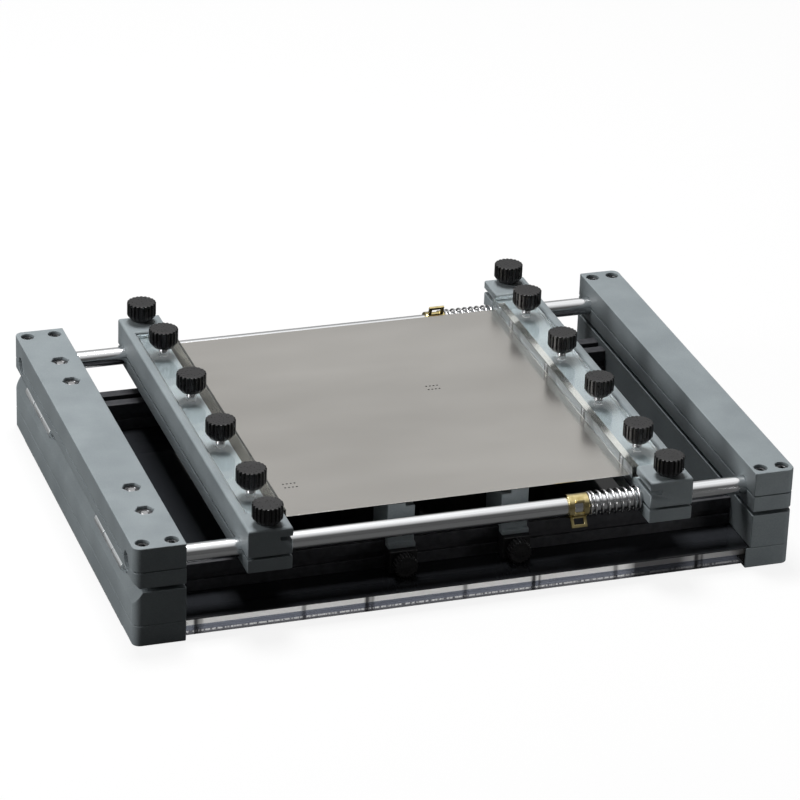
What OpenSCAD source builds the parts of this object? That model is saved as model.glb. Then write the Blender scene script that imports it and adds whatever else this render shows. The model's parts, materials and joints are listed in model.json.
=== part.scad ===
// Manual stencil printer: a hinged frame that tensions a thin steel stencil over a board bay.
// Millimetres, +Z up, origin at the bottom centre, the front edge at -Y, the hinge side at -X.

/* [Overall] */
// Overall width along the guide rods
overall_w = 293; // [260:1:330]
// Overall depth from front face to back face
overall_d = 216; // [190:1:250]
// Top of the base side blocks above the table
base_top_z = 25.2; // [25:0.1:32]
// Gap between base blocks and lifting frame, taken up by the hinge leaves
lift_gap = 1.7; // [1.7:0.1:3]
// Height of the lower clamp halves, from frame underside to rod axis
lower_h = 7.4; // [7:0.1:10]
// Height of the upper clamp halves above the rod axis
upper_h = 11.2; // [10.5:0.1:14]
// Radius of the outer vertical corners
corner_r = 3.5; // [1:0.5:4]
// Saw gap between upper and lower clamp halves
split_gap = 0.3; // [0.2:0.1:0.6]

/* [Side blocks] */
// Width of the left (hinge side) blocks
left_block_w = 22.5; // [21:0.5:28]
// Width of the right blocks
right_block_w = 18.6; // [17:0.1:26]
// How far the right foot stands out inward below its block
right_foot_lip = 1.9; // [0:0.1:3]
// Distance of the clamp screws from the front and back faces
end_screw_inset = 5.5; // [5:0.1:6]
// Inset of the left clamp screws from the side faces
left_screw_inset = 5; // [4.5:0.1:6]
// Inset of the right clamp screws from the side faces
right_screw_inset = 4.4; // [4:0.1:6]
// Chamfer on the lower outer edge of the left frame block
frame_chamfer = 2.6; // [2:0.1:3.5]
// Width of the chamfer on the upper outer edge of the left base block
base_chamfer_x = 3.8; // [3:0.1:4.5]
// Height of that chamfer
base_chamfer_z = 5.7; // [4:0.1:8]

/* [Guide rods] */
// Rod diameter
rod_d = 8; // [6:1:8]
// Rod axis distance from the front and back faces
rod_inset = 12.5; // [12:0.5:16]
// Rod end set back from the outer block faces
rod_end_gap = 1; // [0.5:0.5:3]
// Radial clearance where the frame halves clamp a rod
rod_clamp_clear = 0.02; // [0.01:0.01:0.05]
// Radial clearance where the carriages slide on a rod
rod_slide_clear = 0.08; // [0.04:0.01:0.1]

/* [Clamp screws] */
// Clamp screw shank diameter
m3_d = 3; // [3:0.5:3.5]
// Clamp screw head diameter
m3_head_d = 5.5; // [5.5:0.1:6]
// Clamp screw head height
m3_head_h = 3; // [2:0.1:3]
// Socket width across flats
m3_socket = 2.5; // [2:0.5:3]
// Socket depth
m3_socket_h = 1.6; // [1:0.1:2]
// Depth of the head below the block top
m3_head_sink = 1.2; // [0.5:0.1:2]
// Diametral clearance around a screw head
head_clear = 0.4; // [0.2:0.1:0.4]
// Diametral clearance around a shank in a plain hole
hole_clear = 0.3; // [0.2:0.1:0.4]
// Diametral clearance of a shank in its thread
thread_clear = 0.04; // [0.02:0.02:0.1]
// Wall left under a screw tip
screw_floor = 1.6; // [1:0.1:2.5]

/* [Base plate] */
// Thickness of the clear plate
plate_t = 7; // [5:0.5:8]
// Thickness of the black sheet on top of the plate
sheet_t = 0.5; // [0.3:0.1:1]
// Height of the plate underside above the table
plate_lift = 2; // [1.6:0.1:4]
// Plate edge set back from the front and back faces
plate_inset = 1; // [0.8:0.1:2]
// Depth of the plate end inside a foot
plate_seat = 10; // [6:0.5:11]
// Clearance around the plate in a foot
plate_clear = 0.2; // [0.1:0.1:0.3]

/* [Fixing screws] */
// Shank diameter of the screws from below
m4_d = 4; // [3:0.5:4]
// Head diameter of the screws from below
m4_head_d = 7; // [6:0.1:7]
// Head height of the screws from below
m4_head_h = 3.5; // [2:0.1:4]
// Reach of a foot screw above the plate top
foot_screw_reach = 9; // [6:0.5:12]
// Distance of the foot screws from the outer side faces
foot_screw_inset = 4.2; // [4:0.1:5]
// Distance of the outer foot screws from the front and back faces
foot_screw_end = 20; // [10:0.5:40]
// Distance of the first rail screw from the left end of its rail
rail_screw_left = 11.8; // [4.2:0.1:26]
// Distance of the last rail screw from the right end of its rail
rail_screw_right = 15.7; // [4.2:0.1:26]
// Reach of a rail screw into the rail
rail_screw_reach = 5.5; // [4:0.5:6]

/* [Board rails] */
// Rail width along the depth
rail_w = 15; // [14:0.1:22]
// Rail height above the black sheet
rail_h = 13.1; // [11:0.1:14]
// Front rail set back from the front face
front_rail_inset = 23.5; // [23:0.1:40]
// Back rail set back from the back face
back_rail_inset = 23.5; // [23:0.1:40]
// Width of the front lip of a rail, up to its slot
rail_lip = 5.4; // [5:0.1:8]
// Width of the slot mouth
slot_w = 4.2; // [3:0.1:5]
// Depth of the slot mouth
slot_mouth = 2.2; // [1.8:0.1:3]
// Width of the slot chamber
slot_chamber_w = 7.6; // [6:0.1:9]
// Height of the slot chamber
slot_chamber_h = 3.6; // [3:0.1:4]
// Height of the groove along each side of a rail
side_groove_h = 2.6; // [2:0.1:4]
// Depth of the side groove
side_groove_d = 1.4; // [0.8:0.1:1.6]
// End gap between a rail and the base blocks
rail_end_gap = 0.2; // [0.1:0.1:0.5]

/* [Board bars] */
// Width of a board bar
bar_w = 12.2; // [10:0.1:16]
// Centre of the left board bar
left_bar_x = -24.6; // [-40:0.1:-12]
// Centre of the right board bar
right_bar_x = 26.4; // [12:0.1:40]
// Gap between the board bar tops and the stencil
bar_stencil_gap = 0.4; // [0.3:0.1:2]
// Bar ends set back from the front and back faces
bar_front_inset = 21; // [20:0.5:26]
// Width of the board rebate on the facing edges
rebate_w = 4.2; // [3:0.1:6]
// Depth of the board rebate
rebate_h = 1.6; // [0.8:0.1:2.4]
// Height of the bridge beam between the legs
beam_h = 8.5; // [7:0.5:10]
// Length of each leg beyond its rail
leg_extra = 2; // [1:0.5:6]
// Depth of the end walls of a bar below the rail top
lip_drop = 2.4; // [1.5:0.1:3]
// Reach of the lip beyond each end of a bar
lip_out = 2.3; // [1:0.1:3]
// Height of the lip
lip_h = 2.2; // [1.2:0.1:3]
// Thickness of the black hook that carries the lock screw
hook_t = 7.4; // [5:0.1:8]
// Gap between a hook and the black sheet
hook_lift = 0.8; // [0.4:0.1:3]
// Vertical clearance between bar and rail
saddle_clear = 0.15; // [0.1:0.05:0.2]
// Side clearance between hook and rail
hook_clear = 0.15; // [0.1:0.05:0.3]
// Depth of the key rib inside the rail slot
key_h = 1.4; // [1:0.1:1.6]
// Side clearance of the key rib in the slot
key_clear = 0.2; // [0.1:0.05:0.4]
// Bar lock screw axis below the rail top
bar_screw_drop = 7.6; // [7:0.1:7.7]
// Bar lock knob diameter
bar_knob_d = 10.4; // [9:0.1:12]
// Bar lock knob length
bar_knob_h = 4.5; // [3.5:0.1:5]
// Gap between a lock screw tip and the rail
tip_gap = 0.25; // [0.1:0.05:0.5]

/* [Carriages] */
// Carriage width along the rods
car_w = 19.4; // [18:0.1:24]
// Centre of the left carriage
left_car_x = -88.3; // [-96:0.1:-76]
// Centre of the right carriage
right_car_x = 89.5; // [76:0.1:100]
// Carriage end faces behind the frame faces
car_inset = 0.2; // [0.1:0.1:2]
// Top of the carriages above the rod axis
car_top = 13; // [11.5:0.1:14]
// Underside of the carriages above the frame underside
car_lift = 0.9; // [0.3:0.1:1.5]
// Gap between the two halves of a carriage
car_gap = 1; // [0.3:0.1:1.4]
// Stencil plane above the rod axis
stencil_rise = 6.9; // [6.4:0.1:8]
// Length of the end blocks along the depth
end_block_l = 17; // [16:0.5:24]
// Width of the outer lip beside the clamp bar
car_lip_w = 4; // [3:0.1:5]
// Depth of the stencil slot in the end blocks
end_slot_w = 5.5; // [4:0.1:7]
// Height of the stencil slot
end_slot_h = 2; // [0.8:0.1:2.2]
// Shank diameter of the carriage joining screws
join_d = 3; // [2.5:0.5:3]
// Distance of a joining screw behind the rod axis
join_offset = 9; // [8.5:0.1:10]
// Reach of a joining screw into the upper half
join_reach = 4.8; // [3:0.1:5]

/* [Clear clamp bars] */
// Clamp bar thickness
clamp_t = 5; // [4:0.1:5.4]
// Overhang of the clamp bar past the carriage inner face
clamp_over = 2; // [0:0.1:4]
// Clearance between clamp bar and carriage recess
clamp_clear = 0.3; // [0.2:0.1:0.5]
// Gap left for the stencil edge on the right carriage
stencil_play = 0.15; // [0.1:0.05:0.3]

/* [Stencil] */
// Stencil sheet thickness
stencil_t = 0.15; // [0.1:0.05:0.3]
// Stencil edge set back from each end of the clamp bars
stencil_set = 3.2; // [0.2:0.1:12]
// Width of the clamped stencil edge inside each carriage
stencil_grip = 2.8; // [1.5:0.1:3.2]
// Aperture size
aperture = 0.8; // [0.5:0.1:1.5]
// Aperture pitch
aperture_pitch = 1.7; // [1.2:0.1:3]
// First aperture group along the width
group_a_x = 23.3; // [10:0.1:60]
// First aperture group along the depth
group_a_y = 15.1; // [-60:0.1:60]
// Second aperture group along the width
group_b_x = -66; // [-70:0.1:-40]
// Second aperture group along the depth
group_b_y = -60.7; // [-75:0.1:60]

/* [Thumb screws] */
// Knob diameter
knob_d = 13.2; // [11:0.1:14]
// Knob height
knob_h = 8.5; // [7:0.1:11]
// Number of flutes around a knob
flutes = 20; // [12:1:24]
// Flute depth
flute_depth = 0.8; // [0.3:0.1:1]
// Thread diameter
thumb_d = 4; // [3:0.5:4]
// Radial running clearance of a thumb screw in its hole
thumb_clear = 0.06; // [0.02:0.01:0.1]
// Height of a clamp knob above its clear bar, as it stands loosened
knob_rise = 2.7; // [0.1:0.1:4]
// Height of a lock knob above its carriage, as it stands loosened
lock_rise = 1.1; // [0.1:0.1:3]
// Chamfer on the top edge of a knob
knob_chamfer = 0.4; // [0.2:0.1:1]
// Radial depth of the taper under a knob
knob_taper_r = 1.8; // [0.4:0.1:2.4]
// Height of the taper under a knob
knob_taper_h = 2.4; // [0.4:0.1:4]
// Gap between a knob and the face below it, and below a clamp screw tip
seat_gap = 0.1; // [0.05:0.05:0.3]
// Distance of the end clamp knobs from the clamp bar ends
knob_end = 19.4; // [8:0.1:26]
// Clamp knob axis beyond the carriage centre, toward the stencil
knob_shift = 2; // [1:0.1:3]

/* [Hinges] */
// Hinge length
hinge_l = 45; // [38:1:50]
// Hinge centre distance from the front and back faces
hinge_inset = 44.2; // [38:0.1:58]
// Barrel diameter
barrel_d = 4.8; // [4:0.1:5]
// Pin diameter
pin_d = 2.4; // [2:0.1:2.8]
// Radial running clearance on the pin
pin_clear = 0.05; // [0.02:0.01:0.1]
// Leaf thickness
leaf_t = 0.8; // [0.6:0.1:0.8]
// Leaf width from the barrel axis
leaf_w = 16; // [14:0.5:18]
// Gap between neighbouring knuckles
knuckle_gap = 0.3; // [0.2:0.1:0.5]
// Clearance of the barrel in its pocket
pocket_clear = 0.4; // [0.3:0.1:0.6]
// Hinge screw pitch
hinge_screw_pitch = 21.5; // [18:0.5:28]
// Hinge screw distance from the inner block face
hinge_screw_inset = 9.2; // [8:0.1:10]
// Hinge screw shank diameter
hinge_screw_d = 4; // [3:0.5:4]
// Hinge screw countersunk head diameter
hinge_head_d = 7.4; // [6.5:0.1:8]
// Hinge screw head height
hinge_head_h = 2; // [1.5:0.1:2.2]
// Diametral clearance around a countersunk head
sink_clear = 0.16; // [0.1:0.02:0.3]
// Hex nut width across corners
nut_d = 8; // [6.4:0.1:8.2]
// Hex nut height
nut_h = 2.4; // [2:0.1:3.2]
// Depth of the nut below the block top
nut_sink = 1.2; // [0.5:0.1:2]
// Clearance of the nut in its pocket
nut_clear = 0.3; // [0.2:0.1:0.5]
// Reach of a hinge screw into the base block
base_hinge_reach = 9; // [6:0.5:12]

/* [Tension springs] */
// Spring outer diameter
spring_d = 11; // [10.5:0.1:12]
// Spring wire thickness
spring_wire = 1; // [0.8:0.1:1.2]
// Number of open spring turns between the two closed end turns
spring_turns = 7; // [4:1:10]
// Gap between the wires of a closed end turn
spring_end_gap = 0.15; // [0.1:0.05:0.3]
// Gap between a spring end and the right carriage
spring_gap = 0.15; // [0.1:0.05:0.5]
// Left end of the rod clamps
clip_x = 46.4; // [40:0.1:50]
// Width of a rod clamp
clip_w = 9; // [6:0.1:10]
// Band thickness of a rod clamp
clip_t = 1.2; // [0.8:0.1:1.4]
// Ear width of a rod clamp
clip_ear_w = 7.2; // [5:0.1:9]
// Ear length beyond the band
clip_ear_l = 4.6; // [4:0.1:6]
// Rim left around the window of an ear
clip_rim = 1.4; // [1:0.1:1.6]
// Length of the tongue beyond the band
clip_tongue_l = 1.6; // [1:0.1:2.5]
// Clearance of the tongue in the window
clip_tongue_clear = 0.4; // [0.2:0.1:0.6]
// Ear angle of the front rod clamp
front_ear_angle = 145; // [120:1:180]
// Ear angle of the back rod clamp
back_ear_angle = 20; // [-30:1:30]

/* [Rest pads] */
// Rest pad diameter
pad_d = 8; // [6:0.5:10]
// Gap between rest pad and frame
pad_gap = 0.3; // [0.3:0.1:0.6]
// Rest pad distance from the front and back faces
pad_inset = 38; // [28:1:58]

/* [Hidden] */
eps = 0.01;
cut = 1;
bore_fn = 40;
hole_fn = 24;
half_w = overall_w / 2;
half_d = overall_d / 2;
left_in = -half_w + left_block_w;
right_in = half_w - right_block_w;
frame_z = base_top_z + lift_gap;
axis_z = frame_z + lower_h;
frame_top = axis_z + upper_h;
rod_y = half_d - rod_inset;
rod_len = overall_w - 2 * rod_end_gap;
screw_y = half_d - end_screw_inset;
left_screws = [-half_w + left_screw_inset, left_in - left_screw_inset];
right_screws = [right_in + right_screw_inset, half_w - right_screw_inset];
plate_top = plate_lift + plate_t + sheet_t;
plate_x0 = left_in - plate_seat;
plate_x1 = right_in + plate_seat;
plate_y = half_d - plate_inset;
rail_top = plate_top + rail_h;
rail_x0 = left_in + rail_end_gap;
rail_x1 = right_in - rail_end_gap;
front_rail_y = -half_d + front_rail_inset;
back_rail_y = half_d - back_rail_inset - rail_w;
slot_off = rail_lip + slot_w / 2;
rail_screw_off = rail_w / 2;
rail_screw_x0 = rail_x0 + rail_screw_left;
rail_screw_pitch = (rail_x1 - rail_screw_right - rail_screw_x0) / 3;
foot_screw_rows = [-half_d + foot_screw_end, 0, half_d - foot_screw_end];
stencil_z = axis_z + stencil_rise;
bar_top = stencil_z - bar_stencil_gap;
bar_y0 = -half_d + bar_front_inset;
bar_y1 = half_d - bar_front_inset;
saddle_z = rail_top + saddle_clear;
bar_screw_z = rail_top - bar_screw_drop;
groove_z = plate_top + (rail_h - side_groove_h) / 2;
lip_z = saddle_z - lip_drop;
car_y = half_d - car_inset;
car_z0 = frame_z + car_lift;
car_z1 = axis_z + car_top;
bay_y = car_y - end_block_l;
clamp_y = bay_y - clamp_clear;
clamp_top = clamp_t + stencil_z + stencil_t;
stencil_y = clamp_y - stencil_set;
hinge_y = half_d - hinge_inset;
pad_y = half_d - pad_inset;
hinge_x = -half_w + barrel_d / 2;
hinge_z = base_top_z + lift_gap / 2;
hinge_screw_x = left_in - hinge_screw_inset;
left_car_in = left_car_x + car_w / 2;
right_car_in = right_car_x - car_w / 2;
stencil_x0 = left_car_in - stencil_grip;
stencil_x1 = right_car_in + stencil_grip;
spring_x0 = clip_x + clip_w;
spring_x1 = right_car_in - spring_gap;
knob_end_y = clamp_y - knob_end;
knob_rows = [-knob_end_y, -knob_end_y / 3, knob_end_y / 3, knob_end_y];

// A round bar along X
module xcyl(d, x0, x1, y, z, fn) {
    translate([x0, y, z]) rotate([0, 90, 0]) cylinder(d = d, h = x1 - x0, $fn = fn);
}

// A round bar along Y
module ycyl(d, y0, y1, x, z, fn) {
    translate([x, y0, z]) rotate([-90, 0, 0]) cylinder(d = d, h = y1 - y0, $fn = fn);
}

// A round bar along Z
module zcyl(d, z0, z1, x, y, fn) {
    translate([x, y, z0]) cylinder(d = d, h = z1 - z0, $fn = fn);
}

// A plain box between two corners
module box(x0, x1, y0, y1, z0, z1) {
    translate([x0, y0, z0]) cube([x1 - x0, y1 - y0, z1 - z0]);
}

// Side block outline with its two outer corners rounded
module side_outline(x_in, x_out) {
    s = x_out > x_in ? 1 : -1;
    x_mid = x_out - s * corner_r;
    union() {
        translate([min(x_in, x_mid), -half_d]) square([abs(x_mid - x_in), overall_d]);
        translate([s > 0 ? x_mid - eps : x_out, -half_d + corner_r])
            square([corner_r + eps, overall_d - 2 * corner_r]);
        for (t = [-1, 1]) translate([x_mid, t * (half_d - corner_r)]) circle(r = corner_r, $fn = bore_fn);
    }
}

// The two rod bores of a side block or carriage
module rod_bores(x0, x1, clear) {
    for (t = [-1, 1]) xcyl(rod_d + 2 * clear, x0, x1, t * rod_y, axis_z, bore_fn);
}

// Triangular bar along the depth that cuts a chamfer
module edge_cut(points) {
    rotate([90, 0, 0]) linear_extrude(height = overall_d + 2 * cut, center = true) polygon(points);
}

// Barrel pockets of both hinges
module barrel_pockets() {
    for (t = [-1, 1])
        ycyl(barrel_d + 2 * pocket_clear, t * hinge_y - hinge_l / 2 - pocket_clear,
            t * hinge_y + hinge_l / 2 + pocket_clear, hinge_x, hinge_z, bore_fn);
}

// Positions of the four hinge screws
module at_hinge_screws() {
    for (t = [-1, 1]) for (u = [-0.5, 0.5])
        translate([hinge_screw_x, t * hinge_y + u * hinge_screw_pitch, 0]) children();
}

// Countersink around a hinge screw head, from one diameter to the other
module head_sink(z, d_low, d_high) {
    translate([0, 0, z])
        cylinder(d1 = d_low + sink_clear, d2 = d_high + sink_clear, h = hinge_head_h, $fn = hole_fn);
}

// Base: clear plate carrying the rails, drilled and counterbored from below
module base_plate() {
    color([0.80, 0.86, 0.88, 0.5]) difference() {
        box(plate_x0, plate_x1, -plate_y, plate_y, plate_lift, plate_lift + plate_t);
        at_rail_screws() {
            zcyl(m4_d + hole_clear, plate_lift - cut, plate_top + cut, 0, 0, hole_fn);
            zcyl(m4_head_d + head_clear, plate_lift - cut, plate_lift + m4_head_h, 0, 0, hole_fn);
        }
    }
}

// Positions of the eight rail screws
module at_rail_screws() {
    for (y = [front_rail_y, back_rail_y]) for (i = [0 : 3])
        translate([rail_screw_x0 + i * rail_screw_pitch, y + rail_screw_off, 0]) children();
}

// Base: glossy black sheet on top of the plate
module black_sheet() {
    color([0.04, 0.04, 0.05]) difference() {
        box(plate_x0, plate_x1, -plate_y, plate_y, plate_lift + plate_t, plate_top);
        at_rail_screws() zcyl(m4_d + hole_clear, plate_lift, plate_top + cut, 0, 0, hole_fn);
    }
}

// Foot outline with the plate seat and three screw holes
module foot(x_in, x_out, seat_x0, seat_x1, screw_x) {
    difference() {
        linear_extrude(height = plate_top) side_outline(x_in, x_out);
        box(seat_x0, seat_x1, -plate_y - plate_clear, plate_y + plate_clear, plate_lift, plate_top + cut);
        for (y = foot_screw_rows) {
            zcyl(m4_d + hole_clear, -cut, plate_top + cut, screw_x, y, hole_fn);
            zcyl(m4_head_d + head_clear, -cut, m4_head_h, screw_x, y, hole_fn);
        }
    }
}

// Base: left foot under the left base block
module left_foot() {
    color([0.44, 0.47, 0.49])
        foot(left_in, -half_w, plate_x0 - plate_clear, left_in + cut, -half_w + foot_screw_inset);
}

// Base: right foot, a little wider than its block
module right_foot() {
    color([0.44, 0.47, 0.49])
        foot(right_in - right_foot_lip, half_w, right_in - right_foot_lip - cut, plate_x1 + plate_clear,
            half_w - foot_screw_inset);
}

// Base: left block with the hinge groove along its outer top edge
module left_base_block() {
    color([0.47, 0.50, 0.52]) difference() {
        translate([0, 0, plate_top]) linear_extrude(height = base_top_z - plate_top)
            side_outline(left_in, -half_w);
        edge_cut([[-half_w - cut, base_top_z - base_chamfer_z - cut * base_chamfer_z / base_chamfer_x],
            [-half_w + base_chamfer_x, base_top_z], [-half_w + base_chamfer_x, base_top_z + cut],
            [-half_w - cut, base_top_z + cut]]);
        barrel_pockets();
        at_hinge_screws() {
            zcyl(hinge_screw_d + thread_clear, base_top_z - base_hinge_reach - cut, base_top_z + cut,
                0, 0, hole_fn);
            head_sink(base_top_z + leaf_t - hinge_head_h, hinge_screw_d, hinge_head_d);
        }
        for (y = foot_screw_rows)
            zcyl(m4_d + thread_clear, plate_top - cut, plate_top + foot_screw_reach + cut,
                -half_w + foot_screw_inset, y, hole_fn);
    }
}

// Base: right block that carries the rest pads
module right_base_block() {
    color([0.47, 0.50, 0.52]) difference() {
        translate([0, 0, plate_top]) linear_extrude(height = base_top_z - plate_top)
            side_outline(right_in, half_w);
        for (y = foot_screw_rows)
            zcyl(m4_d + thread_clear, plate_top - cut, plate_top + foot_screw_reach + cut,
                half_w - foot_screw_inset, y, hole_fn);
    }
}

// Black rail with a slot along its top and a groove along each side, set on the sheet
module rail(y0) {
    difference() {
        box(rail_x0, rail_x1, y0, y0 + rail_w, plate_top, rail_top);
        box(rail_x0 - cut, rail_x1 + cut, y0 + rail_lip, y0 + rail_lip + slot_w,
            rail_top - slot_mouth - eps,
            rail_top + cut);
        box(rail_x0 - cut, rail_x1 + cut, y0 + slot_off - slot_chamber_w / 2,
            y0 + slot_off + slot_chamber_w / 2,
            rail_top - slot_mouth - slot_chamber_h, rail_top - slot_mouth);
        for (g = [-cut, rail_w - side_groove_d])
            box(rail_x0 - cut, rail_x1 + cut, y0 + g, y0 + g + side_groove_d + cut, groove_z,
                groove_z + side_groove_h);
        for (i = [0 : 3])
            zcyl(m4_d + thread_clear, plate_top - cut, plate_top + rail_screw_reach + cut / 2,
                rail_screw_x0 + i * rail_screw_pitch, y0 + rail_screw_off, hole_fn);
    }
}

// Base: front board rail
module front_rail() {
    color([0.09, 0.09, 0.10]) rail(front_rail_y);
}

// Base: back board rail
module back_rail() {
    color([0.09, 0.09, 0.10]) rail(back_rail_y);
}

// Base: eight screws from below, through the plate into the rails
module rail_screws() {
    color([0.12, 0.12, 0.13]) at_rail_screws() {
        zcyl(m4_d, plate_lift + eps, plate_top + rail_screw_reach, 0, 0, hole_fn);
        zcyl(m4_head_d, plate_lift + eps, plate_lift + m4_head_h, 0, 0, hole_fn);
    }
}

// Base: six screws from below, through the feet into the base blocks
module foot_screws() {
    color([0.12, 0.12, 0.13]) for (s = [-1, 1]) for (y = foot_screw_rows)
        translate([s * (half_w - foot_screw_inset), y, 0]) {
            zcyl(m4_d, eps, plate_top + foot_screw_reach, 0, 0, hole_fn);
            zcyl(m4_head_d, eps, m4_head_h, 0, 0, hole_fn);
        }
}

// Base: two pads that the closed frame rests over
module rest_pads() {
    color([0.08, 0.08, 0.08]) for (t = [-1, 1])
        zcyl(pad_d, base_top_z, frame_z - pad_gap, half_w - right_block_w / 2, t * pad_y, hole_fn);
}

// One barrel knuckle, bored for the pin
module knuckle(y0, y1, clear) {
    difference() {
        ycyl(barrel_d, y0, y1, hinge_x, hinge_z, bore_fn);
        ycyl(pin_d + 2 * clear, y0 - cut, y1 + cut, hinge_x, hinge_z, bore_fn);
    }
}

// Leaf that stays on the base, with the two outer knuckles
module base_leaf(t) {
    third = hinge_l / 3;
    y0 = t * hinge_y - hinge_l / 2;
    difference() {
        union() {
            box(hinge_x, hinge_x + leaf_w, y0, y0 + hinge_l, base_top_z, base_top_z + leaf_t);
            for (k = [0, 2]) ycyl(barrel_d, y0 + k * third, y0 + (k + 1) * third, hinge_x, hinge_z,
                bore_fn);
        }
        ycyl(pin_d + 2 * eps, y0 - cut, y0 + hinge_l + cut, hinge_x, hinge_z, bore_fn);
        ycyl(barrel_d + 2 * pocket_clear, y0 + third - knuckle_gap, y0 + 2 * third + knuckle_gap,
            hinge_x, hinge_z,
            bore_fn);
        for (k = [0, 2])
            box(hinge_x, hinge_x + barrel_d, y0 + k * third - cut, y0 + (k + 1) * third + cut,
                base_top_z + leaf_t, frame_z + cut);
        for (u = [-0.5, 0.5]) translate([hinge_screw_x, t * hinge_y + u * hinge_screw_pitch, 0]) {
            zcyl(hinge_screw_d + hole_clear, base_top_z - cut, base_top_z + leaf_t + cut, 0, 0, hole_fn);
            head_sink(base_top_z + leaf_t - hinge_head_h, hinge_screw_d, hinge_head_d);
        }
    }
}

// Leaf that lifts with the frame, with the middle knuckle
module frame_leaf(t) {
    third = hinge_l / 3;
    y0 = t * hinge_y - hinge_l / 2;
    difference() {
        union() {
            box(hinge_x, hinge_x + leaf_w, y0, y0 + hinge_l, frame_z - leaf_t, frame_z);
            ycyl(barrel_d, y0 + third, y0 + 2 * third, hinge_x, hinge_z, bore_fn);
        }
        ycyl(pin_d + 2 * pin_clear, y0 - cut, y0 + hinge_l + cut, hinge_x, hinge_z, bore_fn);
        for (k = [0, 2])
            ycyl(barrel_d + 2 * pocket_clear, y0 + k * third - cut,
                y0 + (k + 1) * third + (k == 0 ? knuckle_gap : cut),
                hinge_x, hinge_z, bore_fn);
        ycyl(barrel_d + 2 * pocket_clear, y0 + 2 * third - knuckle_gap, y0 + 2 * third + eps, hinge_x,
            hinge_z, bore_fn);
        box(hinge_x, hinge_x + barrel_d, y0 + third - cut, y0 + 2 * third + cut, base_top_z - cut,
            frame_z - leaf_t);
        for (u = [-0.5, 0.5]) translate([hinge_screw_x, t * hinge_y + u * hinge_screw_pitch, 0]) {
            zcyl(hinge_screw_d + hole_clear, frame_z - leaf_t - cut, frame_z + cut, 0, 0, hole_fn);
            head_sink(frame_z - leaf_t, hinge_head_d, hinge_screw_d);
        }
    }
}

// Front hinge, base side
module front_base_leaf() {
    color([0.72, 0.72, 0.70]) base_leaf(-1);
}

// Back hinge, base side
module back_base_leaf() {
    color([0.72, 0.72, 0.70]) base_leaf(1);
}

// Front hinge, frame side
module front_frame_leaf() {
    color([0.72, 0.72, 0.70]) frame_leaf(-1);
}

// Back hinge, frame side
module back_frame_leaf() {
    color([0.72, 0.72, 0.70]) frame_leaf(1);
}

// Front hinge pin, held in the outer knuckles
module front_hinge_pin() {
    color([0.65, 0.65, 0.64])
        ycyl(pin_d, -hinge_y - hinge_l / 2, -hinge_y + hinge_l / 2, hinge_x, hinge_z, bore_fn);
}

// Back hinge pin, held in the outer knuckles
module back_hinge_pin() {
    color([0.65, 0.65, 0.64])
        ycyl(pin_d, hinge_y - hinge_l / 2, hinge_y + hinge_l / 2, hinge_x, hinge_z, bore_fn);
}

// Countersunk screws down into the base block
module hinge_base_screws() {
    top = base_top_z + leaf_t;
    color([0.70, 0.70, 0.70]) at_hinge_screws() {
        zcyl(hinge_screw_d, base_top_z - base_hinge_reach, top - eps, 0, 0, hole_fn);
        translate([0, 0, top - hinge_head_h - eps])
            cylinder(d1 = hinge_screw_d, d2 = hinge_head_d, h = hinge_head_h, $fn = hole_fn);
    }
}

// Countersunk screws up through the frame block into the nuts
module hinge_frame_screws() {
    low = frame_z - leaf_t;
    color([0.70, 0.70, 0.70]) at_hinge_screws() {
        zcyl(hinge_screw_d, low + eps, frame_top - nut_sink, 0, 0, hole_fn);
        translate([0, 0, low + eps])
            cylinder(d1 = hinge_head_d, d2 = hinge_screw_d, h = hinge_head_h, $fn = hole_fn);
    }
}

// Hex nuts in the pockets on top of the left block
module hinge_nuts() {
    color([0.75, 0.75, 0.75]) at_hinge_screws() difference() {
        zcyl(nut_d, frame_top - nut_sink - nut_h, frame_top - nut_sink, 0, 0, 6);
        zcyl(hinge_screw_d + thread_clear, frame_top - nut_sink - nut_h - cut, frame_top, 0, 0, hole_fn);
    }
}

// Plain and counterbored holes for the clamp screws at both ends of a block
module clamp_holes_upper(xs) {
    for (x = xs) for (t = [-1, 1]) {
        zcyl(m3_d + hole_clear, axis_z - cut, frame_top + cut, x, t * screw_y, hole_fn);
        zcyl(m3_head_d + head_clear, frame_top - m3_head_sink - m3_head_h, frame_top + cut, x,
            t * screw_y, hole_fn);
    }
}

// Threaded holes for the clamp screws in a lower half
module clamp_holes_lower(xs) {
    for (x = xs) for (t = [-1, 1])
        zcyl(m3_d + thread_clear, frame_z + screw_floor - cut / 2, axis_z + cut, x, t * screw_y, hole_fn);
}

// Frame: upper half of the left block, with the nut pockets
module left_upper_block() {
    color([0.50, 0.53, 0.55]) difference() {
        translate([0, 0, axis_z + split_gap / 2]) linear_extrude(height = upper_h - split_gap / 2)
            side_outline(left_in, -half_w);
        rod_bores(-half_w - cut, left_in + cut, rod_clamp_clear);
        clamp_holes_upper(left_screws);
        at_hinge_screws() {
            zcyl(hinge_screw_d + hole_clear, axis_z - cut, frame_top + cut, 0, 0, hole_fn);
            zcyl(nut_d + nut_clear, frame_top - nut_sink - nut_h, frame_top + cut, 0, 0, 6);
        }
    }
}

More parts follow.
